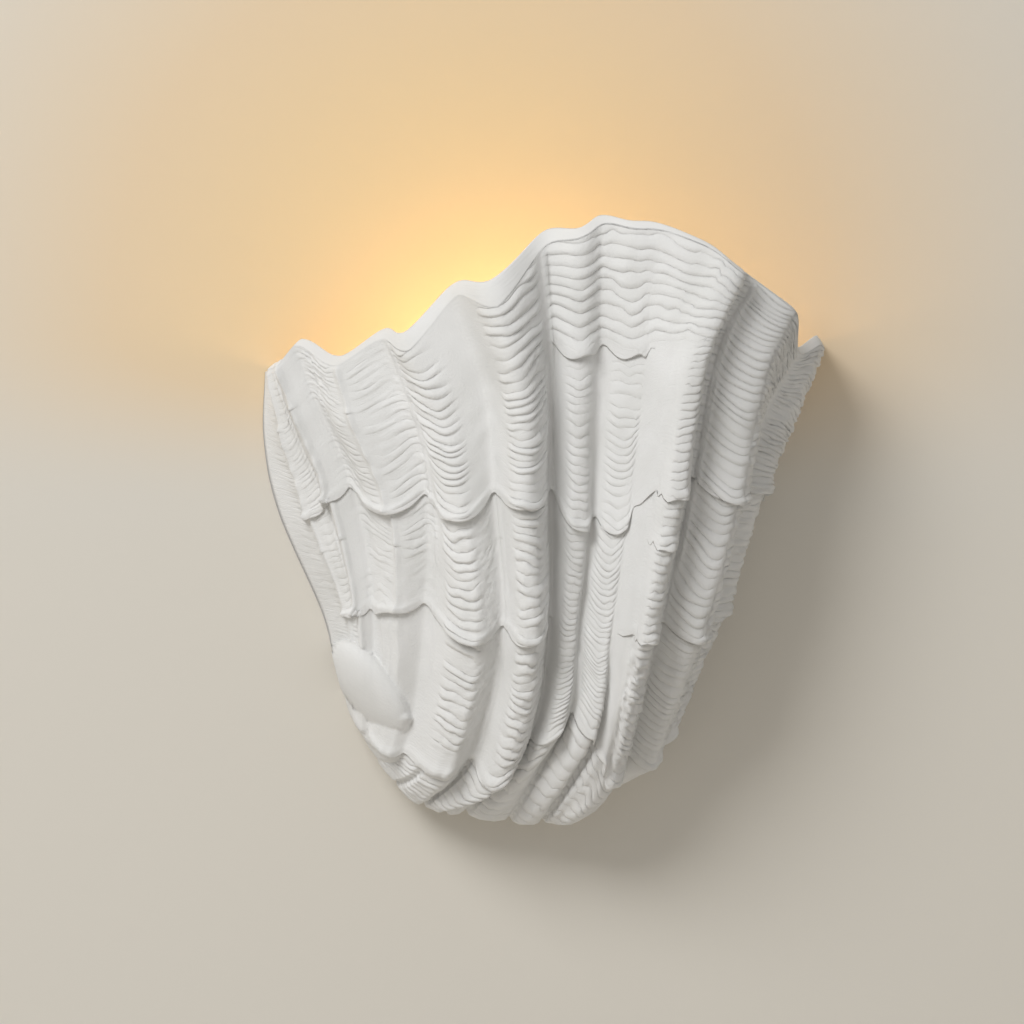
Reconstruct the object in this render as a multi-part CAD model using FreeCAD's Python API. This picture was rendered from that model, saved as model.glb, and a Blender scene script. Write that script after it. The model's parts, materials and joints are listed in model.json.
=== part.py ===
"""Shell wall sconce: a plaster half shell that hangs in front of a wall plate with one upright lamp.

Millimetres, +Z up. The wall is the plane y = 0 and the light stands on its -Y side. The origin is the
middle of the wall plate on the wall. Everything is placed from the named sizes below.
"""
import FreeCAD, Part
import math
import os

V = FreeCAD.Vector
UP = V(0, 0, 1)
OUT = V(0, -1, 0)

# ---------------------------------------------------------------- the plaster shell
PLASTER_WALL = 6.5          # thickness of the cast, measured towards the shell's axis
AXIS_X = 6.0                # the upright axis, on the wall, that the folds sink towards
AXIS_LOW_Z = -90.0          # below this height the axis ends and the folds sink towards its foot
LEDGE = 4.6                 # how far each growth tier's lip stands out over the tier below it
LEDGE_FLARE = 0.6           # share of that which the lip flares out by, just above the edge
LEDGE_FLARE_RUN = 10.0      # how fast the flare dies away up the tier
LEDGE_IN_FURROW = 0.5       # what is left of the ledge at the bottom of a furrow
LEDGE_AT_WALL = 0.8         # what is left of that ledge where the shell meets the wall
LEDGE_RUN = 34.0            # depth from the wall over which the ledge grows to its full size

# Distance along the shell from the wall under it, up to each of the lines that shape it.
LOWEST_BULGE = 40.0
LOW_EDGE = 82.0             # the three edges where the shell grew on from a shorter rim
MIDDLE_EDGE = 172.0
HIGH_EDGE = 247.0
HALF_WAY_UP_TOP = 325.0
RIM = 388.0
STATIONS = (0.0, LOWEST_BULGE, LOW_EDGE, MIDDLE_EDGE, HIGH_EDGE, HALF_WAY_UP_TOP, RIM)
FURROW_STATIONS = (0.0, LOW_EDGE, HIGH_EDGE, RIM)

# Each fold's crest from the wall line up to the rim: x, depth from the wall, z at the seven stations.
CRESTS = (
    ((-105, 0, -114), (-108, 0, -108), (-112, 0, -93), (-120, 0, -61),
      (-146, 0, -1), (-155, 0, 44), (-154, 0, 86)),
    ((-104, 0, -117), (-106, 7, -112), (-105, 14, -104), (-103, 24, -64),
      (-125, 20, -5), (-142, 18, 40), (-153, 15, 89)),
    ((-101, 0, -122), (-101, 13, -127), (-96, 27, -130), (-96, 41, -64),
      (-112, 37, 5), (-134, 33, 54), (-148, 28, 91)),
    ((-87, 0, -144), (-87, 19, -148), (-76, 38, -145), (-72, 58, -62),
      (-76, 60, -2), (-100, 56, 51), (-112, 48, 93)),
    ((-70, 0, -166), (-63, 26, -174), (-45, 55, -157), (-28, 84, -80),
      (-35, 88, -7), (-46, 83, 52), (-73, 74, 107)),
    ((-48, 0, -176), (-45, 31, -181), (-12, 62, -165), (7, 98, -82),
      (4, 106, 0), (1, 108, 66), (-18, 106, 138)),
    ((-23, 0, -178), (-18, 36, -184), (18, 74, -137), (29, 82, -78),
      (34, 89, -13), (36, 92, 78), (38, 92, 169)),
    ((0, 0, -180), (6, 40, -187), (41, 82, -136), (49, 91, -78),
      (58, 95, -14), (67, 96, 78), (70, 97, 173)),
    ((14, 0, -180), (20, 41, -186), (48, 75, -150), (65, 103, -73),
      (77, 110, 12), (89, 112, 87), (111, 108, 162)),
    ((27, 0, -179), (33, 41, -187), (55, 64, -164), (75, 108, -80),
      (92, 122, 6), (108, 124, 87), (135, 115, 145)),
    ((64, 0, -163), (75, 27, -158), (78, 42, -153), (106, 88, -80),
      (129, 98, 2), (147, 98, 84), (167, 92, 122)),
    ((76, 0, -153), (85, 13, -147), (90, 26, -134), (121, 44, -63),
      (145, 54, 11), (165, 52, 60), (184, 44, 105)),
    ((83, 0, -146), (87, 0, -139), (91, 0, -129), (118, 0, -61),
      (143, 0, 6), (162, 0, 55), (187, 0, 102)),
)

# The furrow after each crest but the last: where it lies between the two crests at the lowest growth
# edge and at the rim, how deep it is, and how far its growth lines rise above the crests' lines. Depth
# and rise are given at the lowest growth edge, at the highest growth edge and at the rim.
FURROWS = (
    ((0.5, 0.5), (0, 1, 1), (0, 0, 0)),
    ((0.5, 0.5), (0, 4, 3), (0, 2, 0)),
    ((0.15, 0.12), (2, 8, 8), (0, 9, 12)),
    ((0.2, 0.47), (3, 9, 9), (2, 14, 11)),
    ((0.42, 0.38), (7, 13, 15), (10, 15, 17)),
    ((0.55, 0.56), (8, 18, 18), (8, 19, 9)),
    ((0.58, 0.46), (8, 8, 6), (10, 13, 3)),
    ((0.7, 0.43), (7, 5, 4), (6, 2, 2)),
    ((0.5, 0.5), (0, 0, 0), (0, 0, 0)),
    ((0.6, 0.5), (8, 17, 16), (8, 16, 9)),
    ((0.55, 0.5), (3, 9, 8), (0, 6, -14)),
    ((0.5, 0.5), (0, 0, 0), (0, 0, 0)),
)
FOLD_ROUNDNESS = 1.3        # above 1 the crests are broad and the furrows between them narrow
RIM_ROUNDNESS = 0.9         # the same at the rim, where the furrows open out

# How far below the rim its sloping face starts on each crest.
RIM_FACE = (4, 5, 7, 9, 13, 14, 5, 4, 4, 5, 5, 7, 6)

# The beak at the lower left, where the shell began to grow: an egg that leans down to the right.
BEAK_AT = (-89.0, 30.0, -108.0)     # its middle: x, depth from the wall, z
BEAK_WAY = (0.58, 0.14, -0.80)      # its long axis: x, depth, z
BEAK_HALF_LENGTH = 33.0
BEAK_HALF_WIDTH = 15.0

# ---------------------------------------------------------------- wall plate and hanging
PLATE_W = 130.0
PLATE_H = 100.0
PLATE_T = 2.0
PLATE_CORNER = 10.0
BOX_SCREW_SPACING = 88.9    # a 4 inch round wall box
BOX_SLOT_L = 14.0
BOX_SLOT_W = 5.0
CABLE_HOLE_D = 22.0
GROMMET_BORE = 12.0
GROMMET_LIP_D = 26.0
GROMMET_LIP_T = 1.2

STRAP_T = 2.0
STRAP_LEFT = -134.0
STRAP_RIGHT = 131.0
STRAP_ABOVE = 10.0          # steel above the studs' axis
STRAP_BELOW = 24.0          # steel below it
STUD_X = 40.0
STUD_Z = 36.0
STUD_D = 6.0
STUD_COLLAR_D = 10.0
STUD_COLLAR_T = 1.7         # keeps the strap off the plate
STUD_HEAD_D = 12.0
STUD_HEAD_T = 2.0
STRAP_PLAY = 0.3            # gap from the strap to the collar and to the head of a stud
KEY_FIT = 0.1               # radial play of a stud in the narrow part of its keyhole
KEY_HOLE_FIT = 1.0          # radial play of a stud's head in the wide part
LIFT = 12.0                 # how far the shell lifts before the heads pass the wide parts

BOSS_REACH = 34.0           # how far a boss stands in from the strap's end
BOSS_PAST_STRAP = 2.0       # strap above and below a boss
BOSS_D = 18.0
INSERT_D = 8.0
INSERT_L = 12.0
STRAP_SCREW_IN = 13.0       # from the strap's end to its screws
STRAP_SCREW_PITCH = 16.0
M5 = 5.0
M5_LENGTH = 12.0            # under the head
M5_HEAD_D = 9.0
M5_HEAD_T = 2.4
HEAD_CROWN = 0.4            # share of a pan head's height that slopes in

# ---------------------------------------------------------------- lampholder and its bracket
LAMP_Y = -42.0
BRACKET_W = 30.0
BRACKET_T = 1.5
BRACKET_TOP = -20.0
BRACKET_FLOOR = -48.0
BRACKET_BEND = 2.0
BRACKET_SCREW_X = 9.0
BRACKET_SCREW_Z = -30.0
M4 = 4.0
M4_LENGTH = 3.2
M4_HEAD_D = 7.5
M4_HEAD_T = 2.2

NIPPLE_D = 10.0
NIPPLE_BORE = 8.2
NIPPLE_PAST_NUT = 2.5
NIPPLE_IN_CAP = 0.6         # past the holder cap's floor
NUT_AF = 14.0
NUT_T = 3.0
WASHER_D = 18.0
WASHER_T = 1.0

HOLDER_D = 41.0
HOLDER_CAP_H = 19.0
HOLDER_FLOOR = 3.0
INSULATOR_D = 34.0
INSULATOR_T = 10.5
TERMINAL_ROOM_D = 28.0
SLEEVE_H = 32.0
SLEEVE_MOUTH_D = 31.0
SLEEVE_MOUTH_H = 9.0
SLEEVE_RIB = 1.2
SCREW_SHELL_D = 28.0
SCREW_SHELL_T = 0.5
SCREW_SHELL_EYE = 16.0
CONTACT_W = 8.0
CONTACT_L = 12.0
CONTACT_T = 0.6
CONTACT_RISE = 2.2
TERMINAL_W = 4.4
TERMINAL_L = 6.0
TERMINAL_H = 3.0
TERMINAL_GAP = 0.8

# ---------------------------------------------------------------- LED bulb with a 27 mm screw cap
BULB_CAP_D = 26.2
BULB_CAP_T = 0.4
BULB_CAP_H = 24.0
BULB_SKIRT_H = 2.8
BULB_SKIRT_FOOT_D = 14.0
TIP_D = 9.0
TIP_T = 1.6
TIP_SHOWS = 0.6
TIP_FIT = 0.06
TIP_GAP = 0.3               # the bulb's tip over the centre contact
COLLAR_H = 33.0
COLLAR_FOOT_D = 27.4
COLLAR_SPIGOT_H = 4.0
COLLAR_TOP_D = 45.0
COLLAR_FLARE = 1.5          # over 1, the collar widens faster towards the globe
GLOBE_D = 60.0
GLOBE_WALL = 1.6
LED_BOARD_FIT = 1.3         # from the board's edge to the inside of the globe
LED_BOARD_T = 1.6
LED_COUNT = 12
LED_SIZE = 3.0
LED_T = 0.8
LED_RING_D = 26.0

# ---------------------------------------------------------------- wiring
BLOCK_FROM_EDGE = 29.0      # from the plate's end to the block's middle
BLOCK_TOP = -8.0
BLOCK_W = 30.0
BLOCK_H = 24.0
BLOCK_D = 16.0
BLOCK_GROOVE = 2.0
POLE_PITCH = 10.0
POLE_SCREW_D = 4.0
POLE_SCREW_L = 6.0
POLE_SCREW_IN = 6.0         # from the block's end to its screws
POLE_SCREW_SUNK = 1.0
M3 = 3.0
M3_HEAD_D = 5.6
M3_HEAD_T = 1.8
LEAD_DEPTH = 10.0           # from the wall to the leads' way into the block
LEAD_D = 2.4
LEAD_SIDES = 10
EARTH_FROM_EDGE = 27.0      # from the plate's end to the earth screw
EARTH_Z = -34.0
EYELET_D = 10.0
EYELET_T = 0.8
EYELET_BARREL_D = 3.2
EYELET_BARREL_L = 4.0       # below the eyelet's disc
EYELET_CLEAR = 0.3          # from the barrel's end to the screw's head

# ---------------------------------------------------------------- places worked out from the sizes
STRAP_BACK = PLATE_T + STUD_COLLAR_T + STRAP_PLAY
STRAP_FRONT = STRAP_BACK + STRAP_T
STRAP_Z0 = STUD_Z - STRAP_BELOW
STRAP_Z1 = STUD_Z + STRAP_ABOVE
STRAP_SCREWS = [(x, (STRAP_Z0 + STRAP_Z1) / 2.0 + s * STRAP_SCREW_PITCH / 2.0)
                for x in (STRAP_LEFT + STRAP_SCREW_IN, STRAP_RIGHT - STRAP_SCREW_IN) for s in (-1, 1)]
HOLDER_Z = BRACKET_FLOOR + BRACKET_T
INSULATOR_Z = HOLDER_Z + HOLDER_CAP_H - INSULATOR_T
SLEEVE_Z = HOLDER_Z + HOLDER_CAP_H
SCREW_SHELL_H = SLEEVE_H - SLEEVE_MOUTH_H
BULB_Z = SLEEVE_Z + CONTACT_RISE + TIP_GAP      # underside of the bulb's tip
SKIRT_Z = BULB_Z + TIP_SHOWS
BULB_CAP_Z = SKIRT_Z + BULB_SKIRT_H
COLLAR_Z = BULB_CAP_Z + BULB_CAP_H
GLOBE_Z = COLLAR_Z + COLLAR_H
GLOBE_CENTRE_Z = GLOBE_Z + math.sqrt((GLOBE_D / 2.0) ** 2 - (COLLAR_TOP_D / 2.0) ** 2)
GLOBE_MOUTH_D = 2.0 * math.sqrt((GLOBE_D / 2.0 - GLOBE_WALL) ** 2 - (GLOBE_CENTRE_Z - GLOBE_Z) ** 2)
LED_BOARD_D = GLOBE_MOUTH_D - 2.0 * LED_BOARD_FIT
BLOCK_X = PLATE_W / 2.0 - BLOCK_FROM_EDGE
BLOCK_FOOT = BLOCK_TOP - BLOCK_H
EARTH_X = EARTH_FROM_EDGE - PLATE_W / 2.0
POLES = [BLOCK_X + i * POLE_PITCH for i in (-1, 0, 1)]
TERMINAL_Z = INSULATOR_Z - TERMINAL_H
TERMINAL_X = (TERMINAL_GAP + TERMINAL_W) / 2.0
EYELET_FOOT = EARTH_Z - EYELET_D / 2.0 - EYELET_BARREL_L
EYELET_Y = -(PLATE_T + EYELET_BARREL_D / 2.0)


def save(name, shape):
    shape.exportStep("parts/" + name + ".step")
    print(name, len(shape.Solids), "solids", round(shape.Volume / 1000.0, 2), "cm3", shape.isValid())


# ---------------------------------------------------------------- small shapes
def box(x0, x1, y0, y1, z0, z1):
    return Part.makeBox(x1 - x0, y1 - y0, z1 - z0, V(x0, y0, z0))


def rod(diameter, start, direction, length):
    return Part.makeCylinder(diameter / 2.0, length, start, direction)


def through_hole(diameter, x, z, depth):
    """A hole along Y from the wall outwards to depth."""
    return rod(diameter, V(x, 0, z), OUT, depth)


def slot(length, width, x, z, depth):
    """A round-ended slot lying along X, from the wall outwards to depth."""
    half = (length - width) / 2.0
    bar = box(x - half, x + half, -depth, 0, z - width / 2.0, z + width / 2.0)
    return bar.fuse([through_hole(width, x + s * half, z, depth) for s in (-1, 1)])


def turned(profile):
    """A solid of revolution about the lamp's upright axis from a closed list of (radius, z)."""
    points = [V(r, LAMP_Y, z) for r, z in profile]
    wire = Part.makePolygon(points + points[:1])
    return Part.Face(wire).revolve(V(0, LAMP_Y, 0), UP, 360)


def ring(outer_d, inner_d, z0, z1):
    return turned([(inner_d / 2.0, z0), (outer_d / 2.0, z0), (outer_d / 2.0, z1), (inner_d / 2.0, z1)])


def pan_screw(x, z, seat, shank_d, head_d, head_t, length, side=1):
    """A pan-head screw along Y, seated at a depth from the wall. Side 1 has its head towards the room."""
    head_way = V(0, -side, 0)
    rim = head_t * (1.0 - HEAD_CROWN)
    head = rod(head_d, V(x, -seat, z), head_way, rim)
    slope = head_t - rim
    crown = Part.makeCone(head_d / 2.0, head_d / 2.0 - slope, slope, V(x, -seat - side * rim, z), head_way)
    shank = rod(shank_d, V(x, -seat, z), head_way * -1, length)
    return head.fuse([crown, shank]).removeSplitter()


def hexagon(across_flats, z0, height):
    radius = across_flats / math.sqrt(3.0)
    corners = [V(radius * math.cos(math.radians(a)), LAMP_Y + radius * math.sin(math.radians(a)), z0)
               for a in range(0, 361, 60)]
    return Part.Face(Part.makePolygon(corners)).extrude(V(0, 0, height))


def lead_section(centre, way):
    """A wire with LEAD_SIDES flats round a lead's middle."""
    side = way.cross(V(0, 1, 0)).normalize() * (LEAD_D / 2.0)
    turn = FreeCAD.Rotation(way, 360.0 / LEAD_SIDES)
    corners = [side]
    for _ in range(LEAD_SIDES):
        corners.append(turn.multVec(corners[-1]))
    return Part.makePolygon([centre + c for c in corners[:-1]] + [centre + side])


def lead(name, points):
    """A round lead along straight runs joined by tangent arcs, each as large as its runs allow."""
    points = [V(*p) for p in points]
    edges, start, bends, length = [], points[0], [], 0.0
    for before, corner, after in zip(points, points[1:], points[2:]):
        one, two = before - corner, after - corner
        reach = 0.45 * min(one.Length, two.Length)
        half_turn = (math.pi - one.getAngle(two)) / 2.0
        radius = reach / math.tan(half_turn)
        a = corner + one.normalize() * reach
        b = corner + two.normalize() * reach
        middle = (one + two).normalize()
        top = corner + middle * (radius / math.cos(half_turn) - radius)
        edges += [Part.makeLine(start, a), Part.Arc(a, top, b).toShape()]
        bends.append(round(radius, 1))
        start = b
    edges.append(Part.makeLine(start, points[-1]))
    path = Part.Wire(edges)
    section = lead_section(points[0], points[1] - points[0])
    tube = path.makePipeShell([section], True, False)
    share = tube.Volume / (Part.Face(section).Area * path.Length)
    print(name, "bends", bends, "length", round(path.Length, 1))
    print(name, "volume over section x length", round(share, 4))
    return tube


# ---------------------------------------------------------------- the shell's form
def through(xs, ys, x):
    """Smooth value at x on a curve through the points (xs, ys), with the slope of its neighbours."""
    last = len(xs) - 1
    i = 0
    while i < last - 1 and x > xs[i + 1]:
        i += 1

    def slope(k):
        a, b = max(k - 1, 0), min(k + 1, last)
        return (ys[b] - ys[a]) / (xs[b] - xs[a])

    h = xs[i + 1] - xs[i]
    t = (x - xs[i]) / h
    return (ys[i] * (1 + 2 * t) * (1 - t) ** 2 + h * slope(i) * t * (1 - t) ** 2
            + ys[i + 1] * t * t * (3 - 2 * t) + h * slope(i + 1) * t * t * (t - 1))


def crest_point(k, v):
    return [through(STATIONS, [p[c] for p in CRESTS[k]], v) for c in range(3)]


def outward(x, depth, z):
    """Unit direction away from the shell's axis, as x, depth, z."""
    foot = max(z, AXIS_LOW_Z)
    d = (x - AXIS_X, depth, z - foot)
    size = math.sqrt(d[0] ** 2 + d[1] ** 2 + d[2] ** 2)
    return [c / size for c in d]


def along_furrow(values, v):
    """A furrow's depth or rise at v. It starts slowly, so that the outline at the wall stays even."""
    share = min(v / LOW_EDGE, 1.0)
    return through(FURROW_STATIONS, (0.0,) + tuple(values), v) * share * share * (3 - 2 * share)


def form(u, v, inset=0.0, ledge=0.0):
    """Point of the shell's skin: u counts crests from the left, v runs from the wall up to the rim."""
    n = len(CRESTS)
    crests = [crest_point(k, v) for k in range(n)]
    x, depth, z = [through(range(n), [c[i] for c in crests], u) for i in range(3)]
    k = min(int(u), n - 2)
    share, sinks, rises = FURROWS[k]
    bottom = share[0] + (share[1] - share[0]) * max(v - LOW_EDGE, 0) / (RIM - LOW_EDGE)
    t = u - k
    near = t / bottom if t < bottom else (1 - t) / (1 - bottom)
    opening = max(v - HIGH_EDGE, 0) / (RIM - HIGH_EDGE)
    roundness = FOLD_ROUNDNESS + (RIM_ROUNDNESS - FOLD_ROUNDNESS) * opening
    fall = math.sin(near ** roundness * math.pi / 2) ** 2
    depth = max(depth, 0.0)
    out = outward(x, depth, z)
    off_wall = min(depth / LEDGE_RUN, 1.0) * (1 - (1 - LEDGE_IN_FURROW) * fall)
    stand = ledge * (LEDGE_AT_WALL + (LEDGE - LEDGE_AT_WALL) * off_wall)
    move = stand - inset - fall * along_furrow(sinks, v)
    rise = fall * along_furrow(rises, v)
    return V(x + out[0] * move, -(depth + out[1] * move), z + out[2] * move + rise)


def columns():
    """Places across the shell: each crest and furrow, and a line half way down each flank."""
    places = []
    for k, (share, _, _) in enumerate(FURROWS):
        furrow = sum(share) / 2.0
        places += [k, k + furrow / 2.0, k + furrow, k + (1 + furrow) / 2.0]
    return places + [len(FURROWS)]


def flare(v, low, high):
    """Share of the ledge at v, on a tier from low to high: a lip that flares over a gentle slope."""
    slope = (high - v) / (high - low)
    return LEDGE_FLARE * math.exp((low - v) / LEDGE_FLARE_RUN) * slope + (1 - LEDGE_FLARE) * slope


def fold_line(u, stops, inset=0.0, ledge=False):
    """A smooth line up the shell. With ledge its foot stands out over the tier below."""
    low, high = stops[0], stops[-1]
    points = [form(u, v, inset, flare(v, low, high) if ledge else 0.0) for v in stops]
    curve = Part.BSplineCurve()
    curve.interpolate(Points=points, Parameters=[(v - low) / (high - low) for v in stops])
    return curve.toShape()


def between(low, high, count):
    return [low + (high - low) * i / (count - 1.0) for i in range(count)]


def tier_stops(u, low, high):
    """Where a fold line is fixed: close together on the flare of the lip, and up to the rim's face."""
    if high == RIM:
        k = min(int(u), len(RIM_FACE) - 2)
        high -= RIM_FACE[k] + (RIM_FACE[k + 1] - RIM_FACE[k]) * (u - k)
    return [low, low + LEDGE_FLARE_RUN] + between(low, high, 4)[1:]


def foot(edge):
    return edge.Vertexes[0].Point


def head(edge):
    return edge.Vertexes[-1].Point


def strips(lines):
    return [Part.makeRuledSurface(a, b) for a, b in zip(lines, lines[1:])]


def quad(a, b, c, d):
    return Part.makeRuledSurface(Part.makeLine(a, b), Part.makeLine(d, c))


def triangle(a, b, c):
    return Part.Face(Part.makePolygon([a, b, c, a]))


def plaster_form():
    """The cast: tiers of strips between fold lines, ledges under them, the inner skin and the rim."""
    stops = [0.0, LOW_EDGE, MIDDLE_EDGE, HIGH_EDGE, RIM]
    tiers = [[fold_line(u, between(0.0, LOW_EDGE, 4)) for u in columns()]]
    for low, high in zip(stops[1:], stops[2:]):
        tiers.append([fold_line(u, tier_stops(u, low, high), ledge=True) for u in columns()])
    skins = []
    for low, high in zip(stops, stops[1:]):
        skins.append([fold_line(u, between(low, high, 4), inset=PLASTER_WALL) for u in columns()[::2]])
    faces = [f for lines in tiers + skins for f in strips(lines)]
    back = [e for lines in tiers + skins for e in (lines[0], lines[-1])]
    for below, above in zip(tiers, tiers[1:]):
        for a, b, c, d in zip(below, below[1:], above[1:], above):
            faces.append(quad(head(a), head(b), foot(c), foot(d)))
        for end in (0, -1):
            back.append(Part.makeLine(head(below[end]), foot(above[end])))
    outer, inner = tiers[-1], skins[-1]
    for i in range(len(inner) - 1):
        a, b, c = [head(e) for e in outer[2 * i:2 * i + 3]]
        d, e = head(inner[i]), head(inner[i + 1])
        faces += [triangle(a, b, d), triangle(b, c, e), triangle(b, e, d)]
    for end in (0, -1):
        back.append(Part.makeLine(head(outer[end]), head(inner[end])))
    for lines in (tiers[0], skins[0]):
        back += [Part.makeLine(foot(a), foot(b)) for a, b in zip(lines, lines[1:])]
    faces.append(Part.Face(Part.Wire(Part.__sortEdges__(back))))
    shell = Part.makeShell(faces)
    shell.sewShape(1e-4)
    solid = Part.makeSolid(shell)
    if solid.Volume < 0:
        solid.reverse()
    return solid


def beak():
    """The egg: half an ellipse turned about its long axis."""
    way = V(BEAK_WAY[0], -BEAK_WAY[1], BEAK_WAY[2])
    middle = V(BEAK_AT[0], -BEAK_AT[1], BEAK_AT[2])
    turn = FreeCAD.Placement(middle, FreeCAD.Rotation(V(1, 0, 0), way))
    oval = Part.Ellipse(V(0, 0, 0), BEAK_HALF_LENGTH, BEAK_HALF_WIDTH).toShape(0, math.pi)
    half = Part.Face(Part.Wire([oval, Part.makeLine(V(-BEAK_HALF_LENGTH, 0, 0), V(BEAK_HALF_LENGTH, 0, 0))]))
    egg = half.revolve(V(0, 0, 0), V(1, 0, 0), 360)
    egg.Placement = turn
    return egg


def on_mid_wall(depth, z, right):
    """Point half way through the cast at a depth and height, near its left or right edge."""
    last = len(FURROWS)
    u = last - 0.2 if right else 0.2
    for _ in range(12):
        low, high = LOW_EDGE, RIM
        for _ in range(24):
            v = (low + high) / 2.0
            low, high = (v, high) if form(u, v, PLASTER_WALL / 2.0).z < z else (low, v)
        near, far = (last, last - 2.0) if right else (0.0, 2.0)
        for _ in range(24):
            u = (near + far) / 2.0
            near, far = (u, far) if -form(u, v, PLASTER_WALL / 2.0).y < depth else (near, u)
    return form(u, v, PLASTER_WALL / 2.0)


def boss(right):
    """A block cast onto the side wall behind which the strap's end is screwed."""
    z0, z1 = STRAP_Z0 + BOSS_PAST_STRAP, STRAP_Z1 - BOSS_PAST_STRAP
    x = STRAP_RIGHT - BOSS_REACH if right else STRAP_LEFT + BOSS_REACH
    back, front = STRAP_FRONT, STRAP_FRONT + BOSS_D
    a, b = on_mid_wall(back, z0, right), on_mid_wall(back, z1, right)
    c, d = on_mid_wall(front, z0, right), on_mid_wall(front, z1, right)
    e, f = V(x, a.y, a.z), V(x, b.y, b.z)
    g, h = V(x, c.y, c.z), V(x, d.y, d.z)
    rings = ((a, b, f, e), (c, d, h, g), (e, f, h, g), (a, e, g, c), (b, f, h, d), (a, b, c), (b, d, c))
    block = Part.makeShell([Part.Face(Part.makePolygon(list(r) + [r[0]])) for r in rings])
    block.sewShape(1e-4)
    solid = Part.makeSolid(block)
    if solid.Volume < 0:
        solid.reverse()
    return solid


def plaster_shell():
    body = plaster_form().fuse([boss(False), boss(True), beak()])
    holes = [rod(INSERT_D, V(x, -STRAP_FRONT, z), OUT, INSERT_L) for x, z in STRAP_SCREWS]
    return body.cut(holes)


# ---------------------------------------------------------------- what hangs the shell
def threaded_inserts():
    sleeves = []
    for x, z in STRAP_SCREWS:
        sleeve = rod(INSERT_D, V(x, -STRAP_FRONT, z), OUT, INSERT_L)
        sleeves.append(sleeve.cut(rod(M5, V(x, -STRAP_FRONT, z), OUT, INSERT_L)))
    return Part.makeCompound(sleeves)


def hanging_strap():
    bar = box(STRAP_LEFT, STRAP_RIGHT, -STRAP_FRONT, -STRAP_BACK, STRAP_Z0, STRAP_Z1)
    upright = [e for e in bar.Edges if abs(e.Vertexes[0].Y - e.Vertexes[-1].Y) > STRAP_T / 2.0]
    bar = bar.makeFillet(STRAP_T * 2.0, upright)
    cuts = []
    for x in (-STUD_X, STUD_X):
        narrow = STUD_D + 2 * KEY_FIT
        wide = STUD_HEAD_D + 2 * KEY_HOLE_FIT
        cuts.append(through_hole(narrow, x, STUD_Z, STRAP_FRONT))
        cuts.append(box(x - narrow / 2.0, x + narrow / 2.0, -STRAP_FRONT, 0, STUD_Z - LIFT, STUD_Z))
        cuts.append(through_hole(wide, x, STUD_Z - LIFT, STRAP_FRONT))
    cuts += [through_hole(M5, x, z, STRAP_FRONT) for x, z in STRAP_SCREWS]
    return bar.cut(cuts)


def strap_screws():
    return Part.makeCompound([
        pan_screw(x, z, STRAP_BACK, M5, M5_HEAD_D, M5_HEAD_T, M5_LENGTH, side=-1) for x, z in STRAP_SCREWS])


def wall_plate():
    plate = box(-PLATE_W / 2.0, PLATE_W / 2.0, -PLATE_T, 0, -PLATE_H / 2.0, PLATE_H / 2.0)
    corners = [e for e in plate.Edges if abs(e.Vertexes[0].Y - e.Vertexes[-1].Y) > PLATE_T / 2.0]
    plate = plate.makeFillet(PLATE_CORNER, corners)
    cuts = [slot(BOX_SLOT_L, BOX_SLOT_W, s * BOX_SCREW_SPACING / 2.0, 0, PLATE_T) for s in (-1, 1)]
    cuts.append(through_hole(CABLE_HOLE_D, 0, 0, PLATE_T))
    cuts += [through_hole(STUD_D, s * STUD_X, STUD_Z, PLATE_T) for s in (-1, 1)]
    cuts += [through_hole(M4, s * BRACKET_SCREW_X, BRACKET_SCREW_Z, PLATE_T) for s in (-1, 1)]
    cuts += [through_hole(M3, x, BLOCK_TOP - BLOCK_H / 2.0, PLATE_T) for x in block_screw_places()]
    cuts.append(through_hole(M4, EARTH_X, EARTH_Z, PLATE_T))
    return plate.cut(cuts)


def hanging_studs():
    studs = []
    for x in (-STUD_X, STUD_X):
        neck = STRAP_FRONT + STRAP_PLAY
        stud = rod(STUD_D, V(x, 0, STUD_Z), OUT, neck)
        collar = rod(STUD_COLLAR_D, V(x, -PLATE_T, STUD_Z), OUT, STUD_COLLAR_T)
        cap = rod(STUD_HEAD_D, V(x, -neck, STUD_Z), OUT, STUD_HEAD_T)
        studs.append(stud.fuse([collar, cap]))
    return Part.makeCompound(studs)


def cable_grommet():
    body = through_hole(CABLE_HOLE_D, 0, 0, PLATE_T)
    lip = rod(GROMMET_LIP_D, V(0, -PLATE_T, 0), OUT, GROMMET_LIP_T)
    return body.fuse(lip).cut(through_hole(GROMMET_BORE, 0, 0, PLATE_T + GROMMET_LIP_T))


# ---------------------------------------------------------------- lampholder
def holder_bracket():
    half = BRACKET_W / 2.0
    leg = box(-half, half, -PLATE_T - BRACKET_T, -PLATE_T, BRACKET_FLOOR, BRACKET_TOP)
    arm = box(-half, half, LAMP_Y, -PLATE_T, BRACKET_FLOOR, HOLDER_Z)
    end = rod(BRACKET_W, V(0, LAMP_Y, BRACKET_FLOOR), UP, BRACKET_T)
    angle = leg.fuse([arm, end]).removeSplitter()
    inside = [e for e in angle.Edges if on_line(e, -PLATE_T - BRACKET_T, HOLDER_Z)]
    outside = [e for e in angle.Edges if on_line(e, -PLATE_T, BRACKET_FLOOR)]
    angle = angle.makeFillet(BRACKET_BEND, inside).makeFillet(BRACKET_BEND + BRACKET_T, outside)
    holes = [through_hole(M4, s * BRACKET_SCREW_X, BRACKET_SCREW_Z, PLATE_T + BRACKET_T) for s in (-1, 1)]
    holes.append(rod(NIPPLE_D, V(0, LAMP_Y, BRACKET_FLOOR), UP, BRACKET_T))
    return angle.cut(holes)


def on_line(edge, y, z):
    """Whether an edge lies along X at y and z."""
    return all(abs(v.Y - y) < 1e-6 and abs(v.Z - z) < 1e-6 for v in edge.Vertexes) and edge.Length > 1.0


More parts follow.
